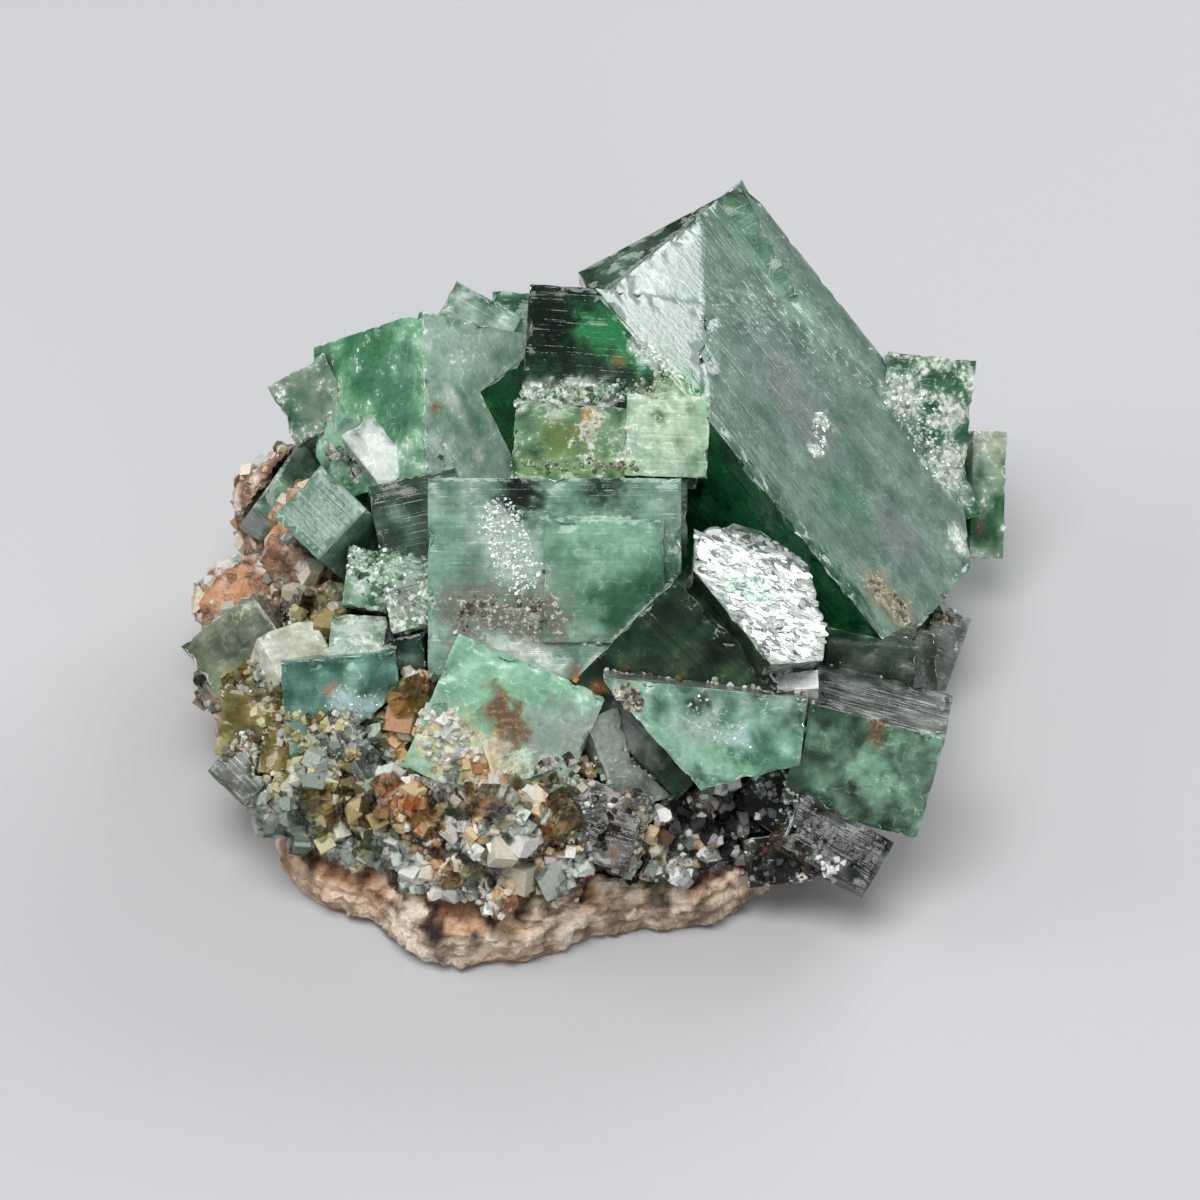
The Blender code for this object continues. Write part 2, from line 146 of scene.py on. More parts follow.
class Wire:  # a socket that can stand in a sum
    def __init__(self, kit, socket):
        self.kit = kit
        self.socket = socket

    def __add__(self, other):
        return self.kit.maths("ADD", self, other)

    def __radd__(self, other):
        return self.kit.maths("ADD", other, self)

    def __sub__(self, other):
        return self.kit.maths("SUBTRACT", self, other)

    def __rsub__(self, other):
        return self.kit.maths("SUBTRACT", other, self)

    def __mul__(self, other):
        return self.kit.maths("MULTIPLY", self, other)

    def __rmul__(self, other):
        return self.kit.maths("MULTIPLY", other, self)

    def clamped(self):
        return self.kit.node("ShaderNodeClamp", {}, {"Value": self})["Result"]

    def ramp(self, low, high, start=0.0, end=1.0):  # smooth step from low to high
        return self.kit.node(
            "ShaderNodeMapRange", {"interpolation_type": "SMOOTHSTEP"},
            {"Value": self, "From Min": low, "From Max": high, "To Min": start, "To Max": end},
        )["Result"]

    def most(self, other):
        return self.kit.maths("MAXIMUM", self, other)


class Outs:
    def __init__(self, kit, node):
        self.kit = kit
        self.made = node

    def __getitem__(self, name):
        return Wire(self.kit, self.made.outputs[name])


class MaterialKit:
    def __init__(self, name):
        self.material = bpy.data.materials.new(name)
        self.material.use_nodes = True
        self.tree = self.material.node_tree
        self.tree.nodes.clear()

    def node(self, kind, settings=None, sockets=None):
        made = self.tree.nodes.new(kind)
        for key, value in (settings or {}).items():
            if key == "stops":
                ramp = made.color_ramp
                while len(ramp.elements) > 1:
                    ramp.elements.remove(ramp.elements[-1])
                for number, (spot, colour) in enumerate(value):
                    stop = ramp.elements[0] if number == 0 else ramp.elements.new(spot)
                    stop.position = spot
                    stop.color = colour
            else:
                setattr(made, key, value)
        for key, value in (sockets or {}).items():
            target = made.inputs[key]
            if isinstance(value, Wire):
                self.tree.links.new(value.socket, target)
            else:
                target.default_value = value
        return Outs(self, made)

    def maths(self, operation, first, second):
        return self.node("ShaderNodeMath", {"operation": operation}, {0: first, 1: second})["Value"]

    def blend(self, factor, first, second):  # sockets 6, 7 and 2 are the Mix node's two colours and their mix
        made = self.node("ShaderNodeMix", {"data_type": "RGBA"}, {0: factor, 6: first, 7: second})
        return Wire(self, made.made.outputs[2])

    def scaled(self, vector, sizes):
        return self.node(
            "ShaderNodeVectorMath", {"operation": "MULTIPLY"}, {0: vector, 1: sizes}
        )["Vector"]

    def lit(self, colour, amount):  # a colour made lighter or darker
        return self.node(
            "ShaderNodeVectorMath", {"operation": "SCALE"}, {0: colour, "Scale": amount}
        )["Vector"]

    def painted(self, name, output="Color"):
        return self.node("ShaderNodeAttribute", {"attribute_name": name})[output]

    def place(self):  # Object coordinates in mm
        return self.scaled(self.node("ShaderNodeTexCoord")["Object"], (1000, 1000, 1000))

    def cloudy(self, vector, scale, detail=2.0, roughness=0.55):
        return self.node(
            "ShaderNodeTexNoise", {"noise_dimensions": "3D"},
            {"Vector": vector, "Scale": scale, "Detail": detail, "Roughness": roughness},
        )["Fac"]

    def ramped(self, value, stops):
        return self.node("ShaderNodeValToRGB", {"stops": stops}, {"Fac": value})["Color"]

    def bumped(self, height, strength, distance):
        sockets = {"Height": height, "Strength": strength, "Distance": distance}
        return self.node("ShaderNodeBump", {}, sockets)["Normal"]

    def glossy(self, sockets):
        return self.node("ShaderNodeBsdfPrincipled", {}, sockets)["BSDF"]

    def finish(self, surface, volume=None):
        sockets = {"Surface": surface}
        if volume:
            sockets["Volume"] = volume
        self.node("ShaderNodeOutputMaterial", {}, sockets)
        return self.material


def floorMaterial():
    kit = MaterialKit("paleFloor")
    return kit.finish(kit.glossy({
        "Base Color": studio["floorColour"], "Roughness": studio["floorRoughness"], "IOR": studio["floorIor"],
    }))


letGo()
bpy.ops.mesh.primitive_plane_add(size=studio["floorSize"], location=(0, 0, 0))
floor = bpy.context.object
floor.name = "studioFloor"
floor.data.materials.append(floorMaterial())
print("studio ready")


# How the crystals grew. Each block: middle of its front face in mm, width, height, depth, azimuth,
# lean and turn in degrees.
footMiddle = (0.41, 3.48)
blocks = {
    "great": ((3.0, -0.2, 16.5), (36, 26, 28), -24, 12, 42),
    "greatTwin": ((7.2, 21.9, 27.7), (15, 10, 14), 0, 38, -28),
    "window": ((1.0, 2.1, 31.5), (14, 15, 12), 0, 38, 4),
    "windowPlate": ((-2.3, -1.2, 28.4), (8.8, 6.1, 1.5), 0, 38, 4.5),
    "windowPale": ((5.2, -1.0, 29.0), (6.4, 6.3, 2.5), 0, 38, 2),
    "windowSide": ((4.8, -4.7, 23.9), (4, 6, 6), 13, 37, 8),
    "broad": ((-3.5, -9.5, 21.6), (19.5, 15.5, 14), 0, 38, 0),
    "broadPlate": ((0.3, -9.9, 21.7), (9.2, 9.5, 1.5), 0, 38, 0.5),
    "broadStep": ((4.6, -5.0, 24.9), (3.2, 4.5, 5), 0, 38, 2),
    "broadSide": ((-13.8, -4.8, 22.7), (7, 8.5, 8), 0, 38, -12),
    "crusted": ((-14.3, -9.6, 19.4), (4.5, 4, 4), -15, 47, -24),
    "rough": ((-16.5, -7.5, 19.7), (6.5, 4.5, 6), 0, 43, 8),
    "tilted": ((-21.7, -4.6, 24.3), (5.2, 5.4, 9), -18, 49, 31),
    "wedge": ((5.8, -17.5, 17.1), (12, 12, 10), -8, 31, 40),
    "silver": ((12.1, -12.2, 22.0), (11.1, 17.7, 9), 95, 65.5, 86),
    "mirror": ((15.0, -17.7, 18.2), (3.2, 1.6, 3), 0, 68, -3),
    "darkFoot": ((21.0, -10.8, 13.8), (7, 4, 8), 0, 18, 5),
    "darkLow": ((24.2, -7.5, 10.8), (5, 6, 8), 20, 30, 10),
    "twin": ((-18.3, 7.3, 25.5), (13.3, 13.2, 13.5), -58, 31, -42),
    "twinBack": ((-6.0, 16.8, 26.0), (6, 7, 8), 0, 38, 5),
    "twinTop": ((-10.6, 15.1, 27.1), (6, 7, 8), 0, 38, 29),
    "twinSide": ((-23.2, 10.9, 23.8), (5.5, 5.5, 8), -25, 35, -43),
    "glint": ((-17.5, 2.7, 24.8), (5.5, 3, 4), 0, 53, 53),
    "grey": ((-20.3, 5.9, 23.7), (3.2, 3.2, 4), -25, 35, -25),
    "rightBlock": ((26.5, 16.9, 14.8), (7.2, 15, 12), 0, 38, 6),
    "rightThin": ((32.2, 17.3, 9.7), (3, 10.5, 8), 25, 35, 17),
    "rightPlate": ((27.6, 14.6, 12.6), (5.5, 7, 4), 14, 34, -12),
    "rightFoot": ((27, 8, 9), (9, 9, 9), 95, 20, 12),
    "backMiddle": ((-3, 25, 16), (13, 12, 12), 172, 28, 20),
    "backLeft": ((-16, 24, 14), (10, 10, 10), 202, 25, -15),
    "backRight": ((14, 27, 10), (10, 9, 11), 162, 20, 35),
    "backLow": ((4, 30, 9), (8, 7, 9), 176, 30, -25),
    "backSmall": ((-10, 28, 8), (6, 6, 8), 192, 35, 35),
    "backCorner": ((22, 24, 6.5), (7, 6, 9), 140, 25, 15),
    "leftFoot": ((-27, 13, 14), (7, 7, 9), -110, 30, 30),
    "leftBack": ((-24, 21, 10), (6.5, 6, 9), -145, 30, -20),
    "teal": ((-19.8, -15.3, 13.5), (9, 8, 7), 0, 32, -6),
    "outer": ((-28.2, -8.2, 13.3), (7, 6.5, 7), -14, 42, -46),
    "pale": ((-18.3, -11.1, 16.9), (5.2, 3.8, 5), 0, 48, 3),
    "blue": ((-14.7, -11.6, 16.4), (4.2, 3.6, 5), 0, 38, 12),
    "bright": ((-23.5, -10.7, 15.7), (4.8, 4.2, 5), 32, 65, 2),
    "olive": ((-26.9, -14.6, 11.0), (5.2, 5.2, 6), 0, 38, 10),
    "oliveLow": ((-24.4, -16.4, 9.8), (3.6, 3.4, 5), 20, 45, 24),
    "slab": ((-19.4, -17.8, 11.4), (7.5, 2.8, 6), -20, 42, 44),
    "clear": ((7.5, -22.2, 15.4), (15.5, 9, 9), 0, 29, 6),
    "mottled": ((20.0, -21.4, 12.3), (10.8, 8.5, 9.5), -8, 18, 11),
    "smoky": ((17.9, -24.8, 8.0), (7.8, 4.6, 8), 0, 48, 30),
    "smokyLeft": ((13.4, -20.9, 9.0), (5.2, 4.4, 7), -20, 40, 22),
    "smokyFoot": ((13.6, -24.2, 5.8), (5.0, 3.8, 6), -10, 35, -15),
    "stained": ((-7.3, -19.8, 14.9), (12.2, 11, 10), 0, 38, 23),
    "stainedSide": ((2.7, -19.9, 12.6), (5.5, 8, 8), 25, 35, -7),
    "smokyLump": ((-0.5, -24.7, 10.0), (7, 6, 9), -15, 47, 5),
    "stainedPlate": ((-6.2, -20.8, 13.8), (5, 4.5, 6), 8, 53, -15),
    "greyLump": ((-5.6, -25.0, 11.4), (4.8, 4.2, 7), 15, 40, 40),
    "lowLump": ((-3.2, -26.3, 8.2), (4.2, 3.6, 6), -25, 30, -20),
    "lower": ((-27.4, -17.1, 9.1), (4, 4.7, 6), -7, 43, 39),
    "chip": ((27.5, 1.2, 6.0), (3, 6.5, 6), 0, 38, 20),
}
sideNames = ("front", "back", "right", "left", "top", "foot")


class Block:
    def __init__(self, face, size, azimuth, lean, turn):
        self.size = size
        azimuth, lean, turn = (math.radians(angle) for angle in (azimuth, lean, turn))
        self.out = Vector((
            math.sin(azimuth) * math.cos(lean), -math.cos(azimuth) * math.cos(lean), math.sin(lean)
        ))
        level = Vector((math.cos(azimuth), math.sin(azimuth), 0.0))
        rise = self.out.cross(level)
        self.wide = level * math.cos(turn) - rise * math.sin(turn)
        self.high = level * math.sin(turn) + rise * math.cos(turn)
        self.face = Vector((face[0] - footMiddle[0], face[1] - footMiddle[1], face[2]))

    def locals(self, points):  # in mm, from the middle of the front face
        axes = numpy.array([self.wide, self.high, self.out])
        return (points - numpy.array(self.face)) @ axes.T

    def reaches(self, spot):  # how far outside each side a spot is
        wide, high, deep = self.size
        across, up, out = spot
        return (
            out, -deep - out, across - wide / 2, -across - wide / 2, up - high / 2, -up - high / 2,
        )

    def facings(self):
        return (self.out, -self.out, self.wide, -self.wide, self.high, -self.high)


grown = {name: Block(*facts) for name, facts in blocks.items()}
blockNames = list(grown)
codesPerBlock = 2 * len(sideNames)  # each side has a code for its face and one for its worn edges
owning = dict(
    near=0.35,  # mm, how far outside a block its faces may lie
    farthest=9.0,
    turnCost=4.0,  # mm, what a face turned square to a side adds to its distance
    worn=(0.55, 0.96),  # cosines between which a face is a worn edge
)


def ownerOf(middle, normal):  # the code of the side that a face belongs to
    best, found = owning["farthest"], -1
    for number, block in enumerate(grown.values()):
        reaches = block.reaches(block.locals(numpy.array(middle) / mm))
        if max(reaches) > owning["near"]:
            continue
        for side, facing in enumerate(block.facings()):
            straight = normal.dot(facing)
            miss = abs(reaches[side]) + owning["turnCost"] * (1.0 - straight)
            if miss < best:
                best = miss
                worn = owning["worn"][0] < straight < owning["worn"][1]
                found = number * codesPerBlock + side * 2 + int(worn)
    return found


# What each crystal looks like. tint: what its clear parts let through. milk, deep and bright: its
# cloudy parts, where they are darker and where they are paler. cloud, patch, crust, stain and lines:
# how cloudy, patchy, crusted, stained and striated it is. A side is given by crystal and side.
plainLook = dict(
    tint=(176, 216, 190), milk=(112, 152, 124), deep=(44, 92, 62), bright=(186, 210, 190),
    cloud=0.45, patch=0.5, crust=0.0, stain=0.0, lines=0.25,
)
looks = {
    # painted reflection: the great top face is paler and greyer than its other faces for the hazy reflection
    # of the overhead light, over its own cloudiness
    "great top": dict(
        tint=(120, 150, 134), milk=(114, 138, 124), deep=(84, 114, 97), bright=(142, 168, 153),
        cloud=0.80, patch=0.25, lines=0.32,
    ),
    "great front": dict(
        tint=(110, 190, 135), milk=(26, 88, 50), deep=(10, 48, 26), bright=(48, 120, 74),
        cloud=0.34, patch=0.5, lines=0.5,
    ),
    "great left": dict(tint=(96, 136, 112), milk=(84, 114, 96), cloud=0.42, lines=0.5),
    "great foot": dict(tint=(110, 170, 130), milk=(48, 100, 68), cloud=0.42),
    "great": dict(tint=(130, 190, 150), milk=(96, 140, 112), cloud=0.58),
    "greatTwin": dict(
        tint=(100, 136, 114), milk=(76, 102, 86), deep=(48, 70, 56), bright=(130, 158, 140),
        cloud=0.48, patch=0.4,
    ),
    # partly painted shade: the window is kept dark for the dark surroundings seen through it, over its own
    # deep green
    "window": dict(
        tint=(84, 128, 104), milk=(54, 78, 62), deep=(30, 44, 35), bright=(86, 130, 100),
        cloud=0.34, patch=0.4,
    ),
    "windowPlate": dict(
        tint=(150, 190, 156), milk=(118, 156, 118), deep=(54, 90, 62), bright=(184, 208, 178),
        cloud=0.78, patch=0.5, crust=0.22, stain=0.04, lines=0.15,
    ),
    "windowPale": dict(
        tint=(200, 225, 198), milk=(166, 198, 168), deep=(110, 150, 118), bright=(204, 222, 202),
        cloud=0.86, patch=0.4, crust=0.15, lines=0.3,
    ),
    "windowSide": dict(tint=(110, 140, 120), milk=(74, 98, 82), cloud=0.5, lines=0.7),
    "broad": dict(
        tint=(140, 182, 156), milk=(124, 158, 138), deep=(88, 122, 100), bright=(168, 192, 176),
        cloud=0.88, patch=0.4, lines=0.3,
    ),
    "broadPlate": dict(
        tint=(130, 184, 148), milk=(120, 160, 134), deep=(86, 130, 102), bright=(158, 192, 168),
        cloud=0.86, patch=0.4,
    ),
    "broadStep": dict(tint=(124, 154, 134), milk=(88, 114, 97), cloud=0.6, lines=0.7),
    "broadSide": dict(
        tint=(110, 140, 122), milk=(86, 112, 95), deep=(52, 72, 59), bright=(138, 164, 148),
        cloud=0.62, lines=0.5,
    ),
    "crusted": dict(
        tint=(150, 176, 154), milk=(124, 146, 124), deep=(74, 88, 68), bright=(180, 192, 172),
        cloud=0.8, crust=0.3, stain=0.05,
    ),
    "rough": dict(
        tint=(160, 200, 170), milk=(128, 168, 138), deep=(60, 104, 74), bright=(186, 212, 190),
        cloud=0.8, patch=0.5, crust=0.25,
    ),
    "tilted": dict(
        tint=(160, 195, 172), milk=(130, 164, 142), deep=(86, 124, 100), bright=(160, 188, 168),
        cloud=0.66, patch=0.25,
    ),
    "wedge": dict(
        tint=(112, 150, 120), milk=(50, 76, 56), deep=(28, 46, 33), bright=(92, 114, 78),
        cloud=0.48, patch=0.5, lines=0.5,
    ),
    # painted reflection: the silvery face is pale grey-white for the overhead light it mirrors, over its own
    # cloudiness and striations
    "silver": dict(
        tint=(180, 200, 188), milk=(150, 164, 156), deep=(92, 100, 96), bright=(206, 214, 210),
        cloud=0.92, patch=0.3, lines=0.9,
    ),
    # painted shade: the faces below and left of the silvery face are a darker grey
    "silver foot": dict(
        tint=(120, 130, 124), milk=(104, 108, 106), deep=(60, 66, 62), bright=(150, 152, 150),
        cloud=0.85, patch=0.4, lines=0.6,
    ),
    # painted glint: near white for the light it reflects
    "mirror": dict(
        tint=(220, 235, 225), milk=(224, 228, 226), deep=(170, 176, 172), bright=(244, 246, 244),
        cloud=0.9,
    ),
    "darkFoot": dict(
        tint=(96, 124, 104), milk=(72, 92, 78), deep=(46, 60, 50), bright=(120, 136, 122),
        cloud=0.62,
    ),
    "darkLow": dict(
        tint=(110, 136, 116), milk=(84, 98, 84), deep=(50, 58, 48), bright=(130, 134, 114),
        cloud=0.62, stain=0.12,
    ),
    "twin front": dict(
        tint=(140, 198, 156), milk=(114, 166, 130), deep=(60, 118, 80), bright=(156, 208, 172),
        cloud=0.74, patch=0.5, crust=0.04,
    ),
    "twin right": dict(
        tint=(190, 215, 198), milk=(164, 192, 174), deep=(120, 160, 136), bright=(200, 216, 206),
        cloud=0.84, patch=0.3, crust=0.03, lines=0.12,
    ),
    "twin top": dict(
        tint=(180, 210, 190), milk=(150, 184, 164), deep=(96, 136, 112), bright=(194, 212, 200),
        cloud=0.75,
    ),
    "twin": dict(tint=(150, 195, 165), milk=(116, 162, 130), cloud=0.62),
    "twinBack": dict(tint=(200, 222, 208), milk=(150, 182, 162), cloud=0.68),
    "twinTop": dict(tint=(205, 225, 212), milk=(166, 192, 174), cloud=0.7),
    "twinSide": dict(
        tint=(165, 195, 170), milk=(120, 146, 124), bright=(186, 194, 176),
        cloud=0.7, crust=0.15,
    ),
    # painted glint: near white for the light it reflects
    "glint": dict(tint=(225, 235, 228), milk=(214, 222, 216), cloud=0.85, patch=0.3),
    "grey": dict(tint=(190, 205, 195), milk=(140, 158, 146), cloud=0.6),
    "rightBlock": dict(
        tint=(130, 180, 146), milk=(84, 132, 100), deep=(36, 84, 54), bright=(176, 196, 180),
        cloud=0.6, patch=0.6, crust=0.34,
    ),
    "rightPlate": dict(
        tint=(150, 190, 160), milk=(112, 148, 122), bright=(190, 204, 190),
        cloud=0.65, patch=0.6, crust=0.24,
    ),
    "rightThin": dict(
        tint=(190, 215, 190), milk=(146, 172, 146), bright=(206, 212, 190),
        cloud=0.75, crust=0.12,
    ),
    "rightFoot": dict(tint=(140, 170, 150), milk=(84, 100, 88), cloud=0.45),
    "backMiddle": dict(tint=(130, 180, 146), milk=(96, 140, 110), cloud=0.6, crust=0.1),
    "backLeft": dict(tint=(150, 190, 162), milk=(118, 152, 128), cloud=0.6, crust=0.12),
    "backSmall": dict(tint=(170, 200, 178), milk=(136, 160, 140), cloud=0.65, crust=0.1),
    "teal": dict(
        tint=(150, 200, 180), milk=(106, 150, 134), deep=(62, 104, 90), bright=(156, 192, 178),
        cloud=0.72, patch=0.5,
    ),
    "outer": dict(
        tint=(190, 205, 175), milk=(146, 158, 128), deep=(100, 112, 80), bright=(190, 198, 176),
        cloud=0.48, patch=0.4,
    ),
    "pale": dict(tint=(190, 210, 190), milk=(150, 172, 150), deep=(96, 110, 84), cloud=0.7, crust=0.12),
    "blue": dict(
        tint=(120, 150, 140), milk=(78, 104, 94), deep=(24, 38, 36), bright=(150, 176, 168),
        cloud=0.5, patch=0.6,
    ),
    # painted highlight: near white for the overhead light it reflects
    "bright": dict(
        tint=(225, 230, 218), milk=(206, 208, 188), bright=(240, 240, 228),
        cloud=0.85, patch=0.3,
    ),
    "olive": dict(
        tint=(196, 188, 124), milk=(140, 128, 76), deep=(92, 80, 40), bright=(190, 180, 128),
        cloud=0.62,
    ),
    "oliveLow": dict(
        tint=(206, 196, 130), milk=(160, 142, 82), deep=(100, 84, 42), bright=(204, 190, 136),
        cloud=0.62,
    ),
    "slab": dict(
        tint=(196, 208, 198), milk=(150, 158, 150), deep=(96, 104, 96), bright=(196, 200, 190),
        cloud=0.36, lines=0.8,
    ),
    "clear": dict(
        tint=(190, 228, 206), milk=(152, 198, 172), deep=(96, 150, 120), bright=(200, 226, 212),
        cloud=0.46, patch=0.6,
    ),
    "clear top": dict(
        tint=(160, 172, 164), milk=(116, 124, 118), deep=(72, 80, 74), bright=(164, 168, 164),
        cloud=0.8, patch=0.3, lines=1.0,
    ),
    "mottled": dict(
        tint=(130, 170, 138), milk=(96, 134, 106), deep=(50, 80, 58), bright=(150, 192, 160),
        cloud=0.58, patch=0.6,
    ),
    "mottled top": dict(
        tint=(150, 160, 154), milk=(96, 104, 98), deep=(52, 60, 54), bright=(136, 142, 138),
        cloud=0.7, lines=0.8,
    ),
    "smoky": dict(
        tint=(120, 130, 124), milk=(76, 84, 79), deep=(38, 42, 40), bright=(144, 150, 145),
        cloud=0.5, patch=0.6, lines=0.6,
    ),
    "smokyLeft": dict(
        tint=(90, 94, 90), milk=(52, 54, 50), deep=(20, 20, 18), bright=(150, 146, 136),
        cloud=0.4, patch=0.6, crust=0.12,
    ),
    "smokyFoot": dict(
        tint=(84, 88, 84), milk=(48, 50, 48), deep=(18, 18, 17), bright=(150, 148, 140),
        cloud=0.4, patch=0.6, crust=0.15,
    ),
    "stained": dict(
        tint=(188, 224, 200), milk=(152, 198, 168), deep=(112, 164, 130), bright=(196, 220, 204),
        cloud=0.82, patch=0.35,
    ),
    "stainedSide": dict(
        tint=(190, 204, 194), milk=(146, 158, 148), deep=(100, 110, 102), bright=(190, 198, 190),
        cloud=0.7, patch=0.4,
    ),
    "smokyLump": dict(
        tint=(120, 120, 116), milk=(96, 96, 92), deep=(42, 40, 38), bright=(166, 164, 156),
        cloud=0.55, patch=0.6, stain=0.08,
    ),
    "stainedPlate": dict(
        tint=(180, 212, 190), milk=(146, 176, 148), deep=(120, 96, 64),
        cloud=0.85, stain=0.1, crust=0.1,
    ),
    "greyLump": dict(
        tint=(150, 146, 130), milk=(140, 126, 94), deep=(84, 66, 44), bright=(196, 184, 150),
        cloud=0.65, patch=0.6, stain=0.1, crust=0.2,
    ),
    "lowLump": dict(
        tint=(140, 134, 116), milk=(128, 110, 80), deep=(70, 52, 34), bright=(184, 170, 136),
        cloud=0.65, patch=0.6, stain=0.1, crust=0.2,
    ),
    "lower": dict(
        tint=(205, 212, 204), milk=(150, 156, 148), deep=(100, 106, 98), bright=(194, 198, 190),
        cloud=0.36, lines=1.0,
    ),
    "chip": dict(
        tint=(190, 200, 192), milk=(130, 138, 132), bright=(176, 182, 176),
        cloud=0.6, lines=0.5,
    ),
}
looks["silver left"] = looks["silver foot"]

# Marks on the faces: what each kind does to the look, and where each lies, in mm, with its reach
# across and how strong it is.
markKinds = {
    # painted light: the bright emerald glow of light passing through the band in the window
    "emerald": dict(milk=(44, 124, 74), cloud=0.9),
    "white": dict(milk=(222, 230, 220), cloud=1.0, crust=0.3),
    # white flakes of crust, partly painted highlights
    "flaky": dict(milk=(232, 238, 232), cloud=1.0, crust=0.85),
    # painted shade: clear spots darkened for the dark surroundings seen through them
    "dark": dict(milk=(34, 52, 42), tint=(60, 84, 70), cloud=0.12),
    "dimple": dict(milk=(76, 104, 78), cloud=1.0),
    "olive": dict(milk=(108, 124, 74), cloud=0.95),
    "lime": dict(milk=(142, 180, 122), cloud=0.95),
    "ochre": dict(milk=(176, 132, 62), cloud=1.0, stain=0.25),
    "rust": dict(milk=(150, 92, 52), cloud=1.0, stain=0.5),
    "brown": dict(milk=(104, 80, 60), cloud=1.0, stain=0.6),
    "crusty": dict(milk=(196, 206, 192), cloud=1.0, crust=0.66),
    "brownCrust": dict(milk=(150, 136, 104), cloud=1.0, crust=0.4, stain=0.35),
    "earth": dict(milk=(112, 108, 94), cloud=1.0, crust=0.3, stain=0.12),
    "pale": dict(milk=(196, 214, 180), cloud=1.0),
    "frost": dict(milk=(196, 208, 202), cloud=1.0, crust=0.1),
    "mint": dict(milk=(146, 194, 162), cloud=0.95),
    "mauve": dict(milk=(128, 132, 132), cloud=0.9),
    "green": dict(milk=(62, 122, 84), cloud=0.8),
    "deepGreen": dict(milk=(24, 92, 50), tint=(96, 190, 126), cloud=0.45),
    "cream": dict(milk=(196, 180, 138), cloud=1.0, crust=0.3, stain=0.1),
    # painted glints: pale blue highlights
    "bluish": dict(milk=(176, 206, 206), cloud=0.9),
    "greyCloud": dict(milk=(140, 148, 140), cloud=0.95),
}
